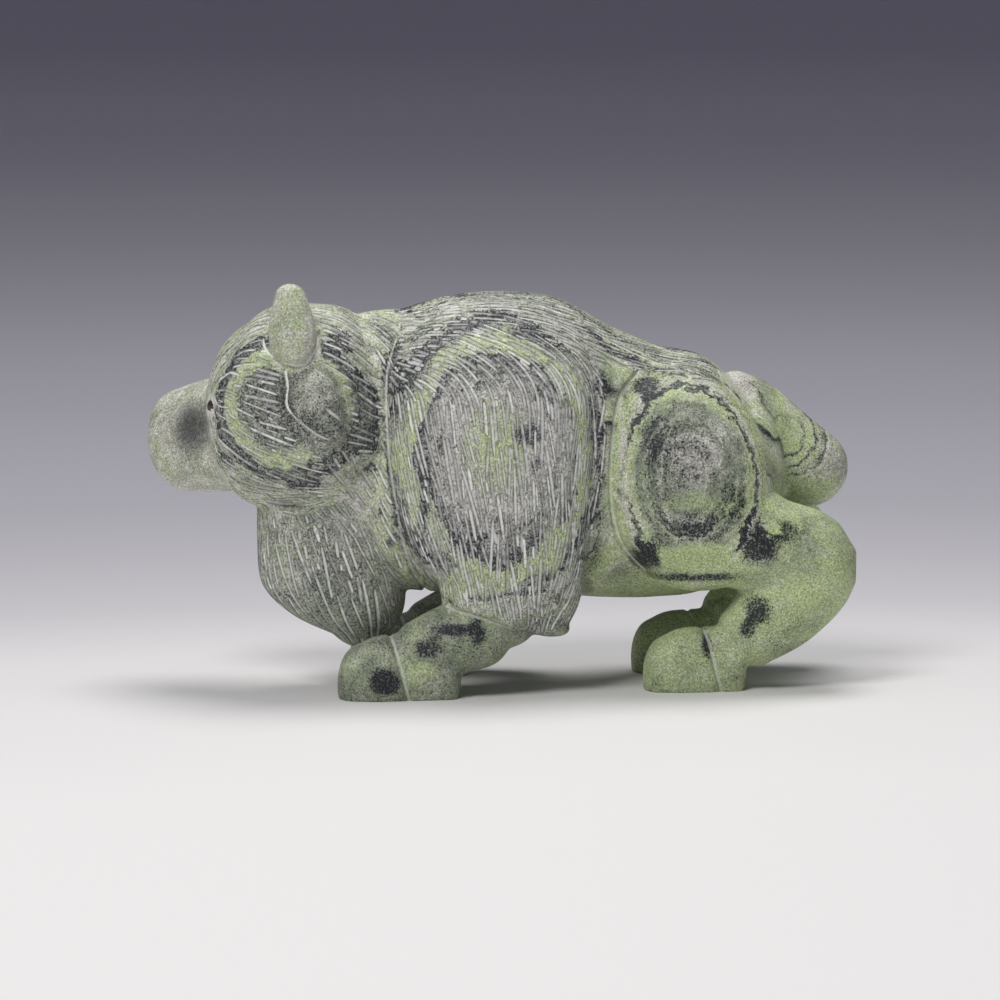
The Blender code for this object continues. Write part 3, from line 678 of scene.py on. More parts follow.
def lay_of(points, part):
    """The way the fur lies at each point, before it is bent onto the skin."""
    x, y, z = points.T
    own = into_head(points)
    lay = np.zeros_like(points)
    side = np.clip(own[:, 1:2] / 2.5, -1.0, 1.0)
    over_head = np.array(HEAD_LAY) * np.concatenate((np.ones_like(side), side, np.ones_like(side)), 1)
    spot = own[:, ::2] - HEAD_RINGS[0]
    round_rim = np.stack((-spot[:, 1], np.zeros_like(x), spot[:, 0]), 1)
    round_rim = unit(round_rim) * np.where((round_rim * over_head).sum(1) < 0, -1.0, 1.0)[:, None]
    rim = ramp(np.linalg.norm(spot, axis=1), 9.5, 13.0) * ramp(own[:, 0], -9.0, -3.0)
    over_head = over_head + (round_rim - over_head) * rim[:, None]
    over_head = over_head @ HEAD_AXES[:3, :3].T
    slope = np.interp(x, *CAPE_SLOPES)
    slope += 1.0 * ramp(z, 41, 51) + 1.5 * ramp(-x, 6, 16) * ramp(z, 42, 49)
    slope -= 0.5 * ramp(x, 2, 10) * ramp(-z, -24, -14)
    beard_slope = BEARD_SLOPE * ramp(np.abs(y - BEARD_MIDDLE), 2.0, 5.5)
    fall = np.interp(x, *BACK_FALL) * ramp(np.abs(y), 2.0, 8.0)
    still, down = np.zeros_like(x), -np.ones_like(x)
    ways = {
        "head": over_head,
        "neck": np.broadcast_to(NECK_LAY, points.shape),
        "beard": np.stack((beard_slope, still, down), 1),
        "cape": np.stack((slope, still, down), 1),
        "crest": np.stack((np.interp(x, *CREST_SLOPES), still, down), 1),
        "back": np.stack((-down, still, -fall), 1),
    }
    for number, name in enumerate(PARTS):
        lay = np.where((part == number)[:, None], ways[name], lay)
    return lay


def onto_skin(tree, points):
    """The nearest places on the skin and its directions there."""
    found = [tree.find_nearest(point)[:2] for point in points.tolist()]
    return np.array([place for place, _ in found]), np.array([way for _, way in found])


def walk(tree, starts, normals, part, reach, lean, way):
    """Paths over the skin from each start, a step at a time along the lay of the fur.

    Each path leans off the lay by its own share, and ends at its reach or where its
    part's fur ends. Gives every place and direction of the paths, and how many of them
    each path uses.
    """
    here, facing = starts.copy(), normals.copy()
    places, facings = [here.copy()], [facing.copy()]
    used = np.ones(len(starts), int)
    going = np.ones(len(starts), bool)
    heading = way * lay_of(here, part)
    for step in range(1, int(reach.max() / STROKE_STEP) + 1):
        going &= step * STROKE_STEP <= reach
        ahead = np.flatnonzero(going)
        if not len(ahead):
            break
        lay = lay_of(here[ahead], part[ahead])
        lay -= facing[ahead] * (lay * facing[ahead]).sum(1, keepdims=True)
        lay = unit(lay) + lean[ahead, None] * np.cross(facing[ahead], unit(lay))
        lay *= np.where((lay * heading[ahead]).sum(1, keepdims=True) < 0, -1.0, 1.0)
        heading[ahead] = unit(lay)
        spot, turned = onto_skin(tree, here[ahead] + STROKE_STEP * heading[ahead])
        kept = (fur_of(spot) == part[ahead]) & ((turned * facing[ahead]).sum(1) > LEAST_TURN)
        going[ahead[~kept]] = False
        ahead, spot, turned = ahead[kept], spot[kept], turned[kept]
        here[ahead], facing[ahead] = spot, turned
        used[ahead] = step + 1
        places.append(here.copy())
        facings.append(facing.copy())
    return np.array(places), np.array(facings), used


def lay_strokes(tree, points, normals, rng):
    """Short strokes that fill the furred skin without crossing.

    Paths are walked both ways from random starts. Each is kept where it runs clear of
    the space that the strokes before it have taken.
    """
    furred = np.flatnonzero(fur_of(points) >= 0)
    chosen = rng.choice(furred, STROKE_TRIES, replace=False)
    starts, facing = points[chosen], normals[chosen]
    part = fur_of(starts)
    sizes = np.array([STROKES[name] for name in PARTS])[part]
    reach = 0.5 * sizes[:, 0] * rng.uniform(0.45, 1.55, len(chosen))
    lean = rng.normal(0.0, STROKE_LEAN, len(chosen))
    onward = walk(tree, starts, facing, part, reach, lean, 1.0)
    back = walk(tree, starts, facing, part, reach, lean, -1.0)
    low = points.min(axis=0) - 3.0
    shape = np.ceil((points.max(axis=0) + 3.0 - low) / TAKEN_CELL).astype(int)
    taken = np.zeros(shape, bool)
    spans = np.arange(-5, 6)
    ball = np.stack(np.meshgrid(spans, spans, spans, indexing="ij"), -1).reshape(-1, 3)
    far = np.linalg.norm(ball, axis=1) * TAKEN_CELL
    strokes = []
    for k in range(len(chosen)):
        ahead, behind = onward[2][k], back[2][k]
        path = np.concatenate((back[0][:behind, k][::-1], onward[0][1:ahead, k]))
        facings = np.concatenate((back[1][:behind, k][::-1], onward[1][1:ahead, k]))
        cells = ((path - low) / TAKEN_CELL).astype(int)
        full = taken[tuple(cells.T)]
        middle = behind - 1
        if full[middle]:
            continue
        before, after = np.flatnonzero(full[:middle]), np.flatnonzero(full[middle:])
        start = before[-1] + 1 if len(before) else 0
        stop = middle + after[0] if len(after) else len(path)
        if stop - start < SHORTEST_STROKE:
            continue
        path, facings, cells = path[start:stop], facings[start:stop], cells[start:stop]
        round_about = (cells[:, None] + ball[far <= sizes[k, 1]]).reshape(-1, 3)
        taken[tuple(round_about.T)] = True
        strokes.append((path, facings, sizes[k, 2] * rng.uniform(0.65, 1.25), rng.uniform(0.35, 1.0)))
    return strokes


def closeness(points, strokes):
    """How near each point is to a stroke: 1 on its middle line and 0 at its half width.

    The distance is measured along the skin, without the part that lies along the
    skin's own direction. A stroke narrows towards both ends as a flat-topped arch.
    """
    order = np.argsort(points[:, 0])
    sorted_x = points[order, 0]
    near = np.zeros(len(points))
    strength = np.zeros(len(points))
    for path, facings, half_width, power in strokes:
        low, high = path.min(axis=0) - half_width - 0.4, path.max(axis=0) + half_width + 0.4
        some = order[np.searchsorted(sorted_x, low[0]) : np.searchsorted(sorted_x, high[0])]
        spots = points[some]
        some = some[((spots > low) & (spots < high)).all(axis=1)]
        if not len(some):
            continue
        spans = np.diff(path, axis=0)
        gap = points[some][:, None] - path[:-1]
        share = np.clip((gap * spans).sum(-1) / np.maximum((spans**2).sum(-1), 1e-9), 0, 1)
        gap -= share[..., None] * spans
        depth = (gap * facings[:-1]).sum(-1)
        gap -= depth[..., None] * facings[:-1]
        gap = np.linalg.norm(gap, axis=-1) + 9.0 * (np.abs(depth) > 1.0)
        along = (np.arange(len(spans)) + share) / len(spans)
        width = half_width * np.sqrt(np.clip(1.04 - np.abs(2 * along - 1) ** 5, 0.02, 1))
        value = np.clip(1 - gap / width, 0, 1).max(axis=1)
        better = value > near[some]
        near[some[better]] = value[better]
        strength[some[better]] = power
    return near, strength


def thrown(tree, starts, aim):
    """Points thrown at the skin along aim, with the skin's directions where they land."""
    hits = [tree.ray_cast(Vector(start), Vector(aim))[:2] for start in starts]
    hits = [hit for hit in hits if hit[0] is not None]
    return np.array([place for place, _ in hits]), np.array([way for _, way in hits])


def incised_lines(tree):
    """Every long incised line, as its places, its directions and how white its powder is."""
    lines = []
    for side in (-1, 1):
        for line in (HAUNCH_LINE, CAPE_LINE):
            flat = curve(line, 6)
            starts = np.stack((flat[:, 0], np.full(len(flat), side * DRAWN_LENGTH), flat[:, 1]), 1)
            lines.append((*thrown(tree, starts, (0, -side, 0)), LONG_LINE_POWDER))
    for line in (EAR_LINE, EAR_SCRATCH, HORN_LINE):
        flat = curve(line, 6)
        starts = np.stack((flat[:, 0], np.full(len(flat), -DRAWN_LENGTH), flat[:, 1]), 1)
        seen, facings = thrown(tree, starts, (0, 1, 0))
        other_side = onto_skin(tree, out_of_head(into_head(seen) * (1.0, -1.0, 1.0)))
        lines.append((seen, facings, HEAD_LINE_POWDER))
        lines.append((*other_side, HEAD_LINE_POWDER))
    mouth = curve(MOUTH_LINE, 6)
    starts = out_of_head(np.stack((np.full(len(mouth), DRAWN_LENGTH), mouth[:, 0], mouth[:, 1]), 1))
    lines.append((*thrown(tree, starts, -HEAD_AXES[:3, 0]), LONG_LINE_POWDER))
    return lines


def hoof_grooves(points):
    """How near each point is to the slanted groove behind a hoof, as 1 to 0."""
    near = np.zeros(len(points))
    for _toe, groove, _heel, y, half_width in all_feet():
        here = ramp(FOOT_TOP - points[:, 2], 0, 1) * ramp(half_width + 1 - np.abs(points[:, 1] - y), 0, 0.5)
        slanted = groove + GROOVE_SLANT * (3 - points[:, 2])
        near = np.maximum(near, here * np.clip(1 - np.abs(points[:, 0] - slanted) / 0.55, 0, 1))
    return near


class Relief:
    """All that is cut into the skin, kept so that it can be asked for again."""

    def __init__(self, tree, points, normals, eyes, settings, scale):
        rng = np.random.default_rng(STROKE_SEED)
        self.strokes = lay_strokes(tree, points, normals, rng)
        groove = 0.5 * settings.groove_width / scale
        lines = incised_lines(tree)
        self.lines = [(place, way, groove, power) for place, way, power in lines if len(place) > 1]
        self.eyes = eyes
        self.cut_depth = settings.cut_depth / scale
        self.groove_depth = settings.groove_depth / scale

    def marks(self, points):
        """Closeness to fur cuts and to grooves, and the powder in each, as four arrays.

        Both kinds of closeness go from 0 at a cut's edge to 1 on its middle line.
        """
        fur, strength = closeness(points, self.strokes)
        groove, power = closeness(points, self.lines)
        hoof = hoof_grooves(points)
        return fur, np.maximum(groove, hoof), strength, np.where(hoof > groove, HOOF_POWDER, power)

    def eye_rims(self, points):
        """1 within an eye's socket and 0 from a little outside it."""
        rim = np.zeros(len(points))
        for centre in self.eyes:
            rim = np.maximum(rim, ramp(-np.linalg.norm(points - centre, axis=1), -2.1, -1.5))
        return rim

    def depth(self, points):
        """How deep each point is cut: the deepest of the cuts that reach it."""
        fur, groove, strength, _ = self.marks(points)
        depth = self.cut_depth * fur**0.8 * (0.6 + 0.4 * strength)
        depth = np.maximum(depth, self.groove_depth * (1 - (1 - groove) ** 2))
        own = into_head(points)
        for side in (-1, 1):
            nostril = np.array((NOSTRIL[0], side * NOSTRIL[1], NOSTRIL[2]))
            gap = np.linalg.norm(own - nostril, axis=1) / NOSTRIL_RADIUS
            depth = np.maximum(depth, NOSTRIL_DEPTH * np.clip(1 - gap**2, 0, 1))
        return depth


def rings(across, up, place):
    """Distance from a ring system's middle, where 1 is its outer ring.

    The square root of the sum of squares, with its own radius for each way.
    """
    (middle_across, middle_up), (left, right, above, below) = place
    a, b = across - middle_across, up - middle_up
    return np.hypot(a / np.where(a < 0, left, right), b / np.where(b > 0, above, below))


def patches(points):
    """What the patches on the near side add at each point, as one array for each grain.

    A patch is full at 0.3 of its size and gone at 1.5 of it, and patches add up.
    """
    x, y, z = points.T
    added = np.zeros((3, len(points)))
    for middle_x, middle_z, wide, high, *amounts in PATCHES:
        gap = np.hypot((x - middle_x) / wide, (z - middle_z) / high)
        added += np.array(amounts)[:, None] * ramp(gap, 1.5, 0.3) * (y < 0)
    return added


def colour_fields(points, relief):
    """The numbers that the stone's colours are read from, by name, at each point."""
    x, y, z = points.T
    own = into_head(points)
    horn, ear = bare_parts(own)
    fur, groove, strength, power = relief.marks(points)
    part = fur_of(points)
    ball_middle, ball_half = np.array(FURRED_BALL)
    ball = ramp(-np.linalg.norm((own - ball_middle) / ball_half, axis=1), -1.12, -1.06)
    muzzle = ramp(own[:, 0], BARE_FACE - 0.6, BARE_FACE)
    muzzle *= ramp(MUZZLE_REACH - np.linalg.norm(own - MUZZLE[1][:3], axis=1), 0, 1)
    head = ball * (1 - muzzle)
    off_head = 1 - np.maximum(head, muzzle)
    cape_front = between(z, CAPE_LINE)
    cape = ramp(x, cape_front.min() - 4, cape_front.min() - 3.9) * (x > cape_front - 0.4)
    cape *= ramp(-x, -13.8, -12.6) * off_head * ramp(np.abs(y), 1.5, 4.0) * ramp(z, 8.0, 10.0)
    haunch = ramp(x, 13.4, 14.6) * ramp(-x, -38.5, -36.5) * ramp(z, 14.0, 16.0) * ramp(np.abs(y), 4.0, 7.0)
    tail = near_form(points, TAIL, 0.6) * ramp(x, 38.5, 40.5) * ramp(z, 41.5, 37.0)
    patch_dark, patch_pale, patch_yellow = patches(points)
    low = ramp(z, 24.0 - 0.2 * np.abs(x - 26.0), 17.0 - 0.2 * np.abs(x - 26.0))
    return {
        "beard": near_form(points, BEARD, 1.6) * (1 - head),
        "fore_leg": ramp(z, 14.0, 11.0) * ramp(x, 12.0, 8.0),
        "hind_leg": np.maximum(low, ramp(x, 36.5, 38.5) * ramp(z, 31.0, 29.0)) * ramp(x, 12.0, 16.0),
        "fur_cut": fur,
        "fur_strength": strength,
        "groove_cut": groove,
        "groove_powder": power,
        "eye_rim": relief.eye_rims(points),
        "furred": (part >= 0).astype(float),
        "horn": horn,
        "ear": ear,
        "muzzle": muzzle,
        "head": head * (1 - horn),
        "cape": cape,
        "haunch": haunch,
        "tail": tail,
        "head_rings": rings(own[:, 0], own[:, 2], (HEAD_RINGS[0], HEAD_RINGS[1][1::-1] + HEAD_RINGS[1][2:])),
        "cape_rings": rings(x, z, CAPE_RINGS),
        "haunch_rings": rings(x, z, HAUNCH_RINGS),
        "tail_rings": rings(x, z, TAIL_RINGS),
        "ridge": np.isin(part, (PARTS.index("crest"), PARTS.index("back"))).astype(float),
        "soft_dark": ramp(np.linalg.norm((points - MUZZLE_PATCH) / MUZZLE_PATCH_SIZE, axis=1), 1.25, 0.35),
        "patch_dark": patch_dark,
        "patch_pale": patch_pale,
        "patch_yellow": patch_yellow,
    }


def store_fields(mesh, fields):
    """Writes each field into the mesh as a number for every point."""
    for name, values in fields.items():
        layer = mesh.attributes.new(name, "FLOAT", "POINT")
        layer.data.foreach_set("value", values.astype(np.float32))


def cut_soles(stone):
    """Cuts the feet off flat on the ground and fills the cuts."""
    bm = bmesh.new()
    bm.from_mesh(stone.data)
    whole = list(bm.verts) + list(bm.edges) + list(bm.faces)
    cut = bmesh.ops.bisect_plane(bm, geom=whole, plane_co=(0, 0, 0), plane_no=(0, 0, -1), clear_outer=True)
    rims = [item for item in cut["geom_cut"] if isinstance(item, bmesh.types.BMEdge)]
    bmesh.ops.holes_fill(bm, edges=rims)
    bmesh.ops.triangulate(bm, faces=bm.faces)
    bm.to_mesh(stone.data)
    bm.free()


def placing(points, scale):
    """The shift, in drawing units, that puts the skin's box where the node's is."""
    low, high = points.min(axis=0), points.max(axis=0)
    middle = (np.array(NODE_LOW) + np.array(NODE_HIGH)) / 2 / scale
    return np.array((middle[0] - (low[0] + high[0]) / 2, middle[1] - (low[1] + high[1]) / 2, 0.0))


class Nodes:
    """Makes a material's nodes, one call each."""

    def __init__(self, material):
        material.use_nodes = True
        self.tree = material.node_tree
        self.tree.nodes.clear()

    def add(self, kind, settings=None, **sockets):
        """A node with its settings, and its sockets set or linked by name."""
        node = self.tree.nodes.new(kind)
        for name, value in (settings or {}).items():
            setattr(node, name, value)
        for name, value in sockets.items():
            socket = node.inputs[name] if name in node.inputs else node.inputs[int(name[1:])]
            self.put(socket, value)
        return node

    def put(self, socket, value):
        """Sets a socket to a value, or links another node's output to it."""
        if isinstance(value, bpy.types.NodeSocket):
            self.tree.links.new(value, socket)
        else:
            socket.default_value = value

    def math(self, operation, a, b=0.0, c=0.0):
        """Arithmetic on up to three numbers."""
        return self.add("ShaderNodeMath", {"operation": operation}, _0=a, _1=b, _2=c).outputs[0]

    def field(self, name):
        """A number that is stored with the mesh."""
        return self.add("ShaderNodeAttribute", {"attribute_name": name}).outputs["Fac"]

    def ease(self, value, start, end, low=0.0, high=1.0):
        """A smooth step from low to high as the value goes from start to end."""
        node = self.add(
            "ShaderNodeMapRange",
            {"interpolation_type": "SMOOTHSTEP"},
            Value=value,
            **{"From Min": start, "From Max": end, "To Min": low, "To Max": high},
        )
        return node.outputs[0]

    def noise(self, place, scale, detail=2.0, roughness=0.5, colour=False):
        """Cloudy noise, as one number about 0.5 or as three."""
        node = self.add("ShaderNodeTexNoise", Vector=place, Scale=scale, Detail=detail, Roughness=roughness)
        return node.outputs["Color" if colour else "Fac"]

    def bands(self, value, stops):
        """A row of colours along a value; the fourth part of a colour is how it covers."""
        node = self.add("ShaderNodeValToRGB", Fac=value)
        elements = node.color_ramp.elements
        while len(elements) < len(stops):
            elements.new(1.0)
        for element, (place, colour) in zip(elements, stops):
            element.position = place
            element.color = colour
        return node.outputs["Color"], node.outputs["Alpha"]

    def mix(self, share, under, over):
        """One colour over another by a share."""
        node = self.add("ShaderNodeMix", {"data_type": "RGBA"})
        self.put(node.inputs["Factor"], share)
        self.put(node.inputs[6], under)
        self.put(node.inputs[7], over)
        return node.outputs[2]


def solid(colour, cover=1.0):
    """A colour with its share of cover."""
    return (*tuple(colour)[:3], cover)


def add_grains(n, drawn, amount, size, low, high):
    """Where grains of one kind lie: noise above a level that falls as the amount rises."""
    grain = n.noise(drawn, size, 3.0, 0.75)
    level = n.math("MULTIPLY_ADD", amount, low - high, high)
    return n.ease(n.math("SUBTRACT", grain, level), -0.05, 0.05)


def ring_layer(n, drawn, under, threads, name, stops, ragged_by):
    """Rings over what is there, their edges broken by noise and their width by a slower one.

    Gives the shares of the grains, and the place across the fine layers.
    """
    edge = n.math("SUBTRACT", n.noise(drawn, 0.7, 4.0, 0.7), 0.5)
    slow = n.math("SUBTRACT", n.noise(drawn, 0.13, 2.0, 0.5), 0.5)
    value = n.math("MULTIPLY_ADD", edge, ragged_by, n.field(name + "_rings"))
    value = n.math("MULTIPLY_ADD", slow, 0.3, value)
    value = n.math("MULTIPLY", value, RING_SHARE)
    shade, share = n.bands(value, [(at * RING_SHARE, tint) for at, tint in stops])
    share = n.math("MULTIPLY", share, n.field(name))
    across = n.math("SUBTRACT", n.math("MULTIPLY", value, FINE_LAYERS), threads)
    return n.mix(share, under, shade), n.math("MULTIPLY_ADD", across, share, threads)


def stone_material(colours, scale, shift):
    """Banded serpentine: rings of layers made of grains, painted shade in the cuts and powder in them.

    A colour ramp gives each layer's shares of dark grains, pale grains and yellow.
    """
    material = bpy.data.materials.new("banded_serpentine")
    n = Nodes(material)
    place = n.add("ShaderNodeTexCoord").outputs["Object"]
    drawn = n.add(
        "ShaderNodeMapping",
        Vector=place,
        Location=tuple(-shift),
        Scale=(1 / scale,) * 3,
    ).outputs[0]

    # Layers through the whole stone, warped, and cut by its surface
    warp = n.noise(drawn, 0.05, 3.0, 0.55, colour=True)
    pushed = {"operation": "MULTIPLY_ADD"}
    warped = n.add("ShaderNodeVectorMath", pushed, _0=warp, _1=(30.0, 30.0, 30.0), _2=drawn).outputs[0]
    spread = n.add("ShaderNodeVectorMath", {"operation": "DOT_PRODUCT"}, _0=warped, _1=(0.02, 0.07, 0.035))
    edge = n.math("SUBTRACT", n.noise(drawn, 0.8, 4.0, 0.7), 0.5)
    layer = n.math("FRACT", n.math("MULTIPLY_ADD", edge, 0.16, spread.outputs["Value"]))
    shares = n.bands(layer, LAYERS)[0]
    threads = n.math("MULTIPLY", layer, FINE_LAYERS)
    for name, stops, ragged_by in RING_STOPS:
        shares, threads = ring_layer(n, drawn, shares, threads, name, stops, ragged_by)
    calm = 1.0
    for name, tint in BARE_TINTS:
        share = n.field(name)
        shares = n.mix(n.math("MULTIPLY", share, 0.8), shares, tint)
        calm = n.math("MULTIPLY", calm, n.math("SUBTRACT", 1.0, share))
    split = n.add("ShaderNodeSeparateColor", Color=shares)
    dark_share, pale_share, yellow_share = split.outputs[:3]

    # Fine layers parallel to the rings, and slow clouds that thin each band
    threads = n.add("ShaderNodeTexNoise", {"noise_dimensions": "1D"}, W=threads, Scale=1.0, Detail=2.0)
    threads = n.math("MULTIPLY", n.math("SUBTRACT", threads.outputs["Fac"], 0.5), calm)
    cloud = n.math("SUBTRACT", n.noise(drawn, 0.16, 3.0, 0.6), 0.5)
    dark_share = n.math("MULTIPLY_ADD", cloud, 0.9, dark_share)
    dark_share = n.math("MULTIPLY_ADD", threads, 1.3, dark_share)
    dark_share = n.math("MULTIPLY_ADD", n.field("ridge"), 0.3, dark_share)
    dark_share = n.math("MINIMUM", n.math("ADD", dark_share, n.field("patch_dark")), 1.05)
    cloud = n.math("SUBTRACT", n.noise(drawn, 0.2, 3.0, 0.6), 0.5)
    pale_share = n.math("MULTIPLY_ADD", cloud, 0.8, pale_share)
    pale_share = n.math("MULTIPLY_ADD", threads, -1.0, pale_share)
    pale_share = n.math("ADD", pale_share, n.field("patch_pale"))
    cloud = n.math("SUBTRACT", n.noise(drawn, 0.3, 3.0, 0.6), 0.5)
    yellow_share = n.math("MULTIPLY_ADD", cloud, 0.9, yellow_share)
    yellow_share = n.math("ADD", yellow_share, n.field("patch_yellow"))

    colour = n.mix(n.ease(yellow_share, 0.1, 0.9), solid(colours.grey_green), solid(colours.yellow_green))
    paler = n.ease(n.noise(drawn, 0.5, 5.0, 0.75), 0.42, 0.66)
    colour = n.mix(n.math("MULTIPLY", paler, n.ease(pale_share, 0.0, 0.9)), colour, solid(colours.pale))
    pale_grains = add_grains(n, drawn, pale_share, 3.1, 0.4, 0.72)
    colour = n.mix(n.math("MULTIPLY", pale_grains, 0.75), colour, solid(colours.lilac))
    smoke = n.ease(dark_share, 0.3, 1.05, 0.0, 0.5)
    colour = n.mix(smoke, colour, solid(colours.blue_black))
    dark_grains = add_grains(n, drawn, dark_share, 3.2, 0.44, 0.72)
    colour = n.mix(n.math("MULTIPLY", dark_grains, 0.95), colour, solid(colours.blue_black))
    colour = n.mix(n.math("MULTIPLY", n.field("soft_dark"), 0.8), colour, solid(colours.blue_black))
    fine = n.ease(n.noise(drawn, 3.6, 4.0, 0.85), 0.28, 0.72, 0.35, 1.7)
    colour = n.add("ShaderNodeVectorMath", {"operation": "SCALE"}, _0=colour, Scale=fine).outputs[0]
    rust = n.math("MULTIPLY", n.ease(n.noise(drawn, 0.55, 2.0, 0.6), 0.72, 0.78), 0.7)
    colour = n.mix(rust, colour, solid(colours.rust))

    # Powder left in the cuts and rubbed over the fur, over shade painted into the cuts
    broken = n.math("SUBTRACT", n.noise(drawn, 2.4, 3.0, 0.75), 0.5)
    fur = n.math("MULTIPLY_ADD", broken, 0.7, n.field("fur_cut"))
    # Painted shade: each fur cut is darkened towards the blue-black from just inside its edge, standing in
    # for the shade in the cut
    painted_cut_shade = n.math("MULTIPLY", n.ease(n.field("fur_cut"), 0.0, 0.18), 0.55)
    colour = n.mix(painted_cut_shade, colour, solid(colours.blue_black))
    worn = n.ease(n.noise(drawn, 0.9, 2.0, 0.6), 0.32, 0.52, 0.5, 1.0)
    fur_powder = n.math("MULTIPLY", n.ease(fur, 0.25, 0.68), n.field("fur_strength"))
    fur_powder = n.math("MULTIPLY", fur_powder, worn)
    haze = n.math("MULTIPLY", n.ease(n.field("fur_cut"), 0.1, 0.7), n.field("fur_strength"))
    fur_powder = n.math("MAXIMUM", fur_powder, n.math("MULTIPLY", haze, 0.5))
    groove = n.math("MULTIPLY_ADD", broken, 1.0, n.field("groove_cut"))
    groove_powder = n.math("MULTIPLY", n.ease(groove, 0.35, 0.8), n.field("groove_powder"))
    rubbed = n.math("MULTIPLY", n.ease(n.noise(drawn, 2.8, 3.0, 0.8), 0.5, 0.66), n.field("furred"))
    chalk = n.math("MAXIMUM", n.math("MAXIMUM", fur_powder, groove_powder), n.math("MULTIPLY", rubbed, 0.5))
    chalk = n.math("MAXIMUM", chalk, n.math("MULTIPLY", n.field("eye_rim"), 0.5))
    colour = n.mix(chalk, colour, solid(colours.powder))

    rough = n.ease(n.noise(drawn, 3.4, 2.0, 0.7), 0.3, 0.7, 0.44, 0.6)
    rough = n.math("MULTIPLY_ADD", chalk, 0.35, rough)
    bump = n.add("ShaderNodeBump", Height=n.noise(drawn, 2.6, 4.0, 0.75), Strength=0.4, Distance=0.00012)
    shader = n.add(
        "ShaderNodeBsdfPrincipled",
        **{"Base Color": colour, "Roughness": rough, "Normal": bump.outputs[0]},
    )
    shader.inputs["IOR"].default_value = 1.5
    shader.inputs["Specular IOR Level"].default_value = 0.3
    n.add("ShaderNodeOutputMaterial", Surface=shader.outputs[0])
    return material


def eye_material(colours):
    """Polished dark brown stone with slight clouds in it."""
    material = bpy.data.materials.new("inlaid_eye_stone")
    n = Nodes(material)
    place = n.add("ShaderNodeTexCoord").outputs["Object"]
    cloud = n.ease(n.noise(place, 1400.0, 2.0), 0.4, 0.7)
    colour = n.mix(cloud, solid(colours.eye), solid([2.2 * part for part in tuple(colours.eye)[:3]]))
    shader = n.add("ShaderNodeBsdfPrincipled", **{"Base Color": colour})
    shader.inputs["Roughness"].default_value = 0.2
    n.add("ShaderNodeOutputMaterial", Surface=shader.outputs[0])
    return material


def size_property(name, description, default):
    """A length that can be set in the panel."""
    return bpy.props.FloatProperty(
        name=name, description=description, default=default, precision=5, unit="LENGTH"
    )


class CarvingSettings(bpy.types.PropertyGroup):
    """Sizes of the carving and of what is cut into it."""

    length: size_property("Length", "From the muzzle to the hock", NODE_HIGH.x - NODE_LOW.x)
    skin_detail: size_property("Skin detail", "Size of the grid on which the forms are merged", 0.00021)
    cut_depth: size_property("Fur cut depth", "Depth of the short cuts that draw the fur", 0.00026)
    groove_width: size_property("Groove width", "Width of the long incised lines", 0.0009)
    groove_depth: size_property("Groove depth", "Depth of the long incised lines", 0.00055)
    triangles: bpy.props.IntProperty(
        name="Triangles",
        description="How many triangles the finished skin keeps",
        default=190000,
    )


def colour_property(name, description, default):
    """A colour that can be picked in the panel."""
    return bpy.props.FloatVectorProperty(
        name=name, description=description, default=default, subtype="COLOR", size=3, min=0.0, max=1.0
    )


class StoneColours(bpy.types.PropertyGroup):
    """Colours of the serpentine's layers and of the inlaid eyes."""

    pale: colour_property("Pale layer", "The palest green layers", (0.72, 0.74, 0.64))
    yellow_green: colour_property("Yellow-green layer", "The brightest layers", (0.46, 0.55, 0.28))
    grey_green: colour_property("Grey-green layer", "The dull layers", (0.235, 0.27, 0.2))
    # The blue-black is also the colour of the painted shade in the fur cuts
    blue_black: colour_property("Dark grains", "The blue-black grains", (0.014, 0.017, 0.027))
    lilac: colour_property("Lilac grains", "The grey-lilac grains", (0.6, 0.56, 0.55))
    powder: colour_property("Powder", "Stone powder left in the cuts", (0.96, 0.97, 0.93))
    rust: colour_property("Rust", "Small rust-brown specks", (0.16, 0.07, 0.03))
    eye: colour_property("Eyes", "The inlaid dark stone", (0.045, 0.032, 0.024))


class StageSettings(bpy.types.PropertyGroup):
    """The pale floor, the soft light and the camera."""

    floor: colour_property("Floor", "Paper under the carving", (0.86, 0.855, 0.845))
    far_floor: colour_property("Far floor", "Paper far behind the carving", (0.18, 0.175, 0.245))
    lamp_power: bpy.props.FloatProperty(
        name="Lamp power", description="Power of the large soft lamp", default=6.4, unit="POWER"
    )
    azimuth: bpy.props.FloatProperty(
        name="Camera turn",
        description="How far round the camera stands from the left side",
        default=math.radians(-8.0),
        subtype="ANGLE",
    )
    elevation: bpy.props.FloatProperty(
        name="Camera rise",
        description="How far the camera looks down",
        default=math.radians(6.5),
        subtype="ANGLE",
    )
    distance: size_property("Camera distance", "From the camera to the carving", 0.65)


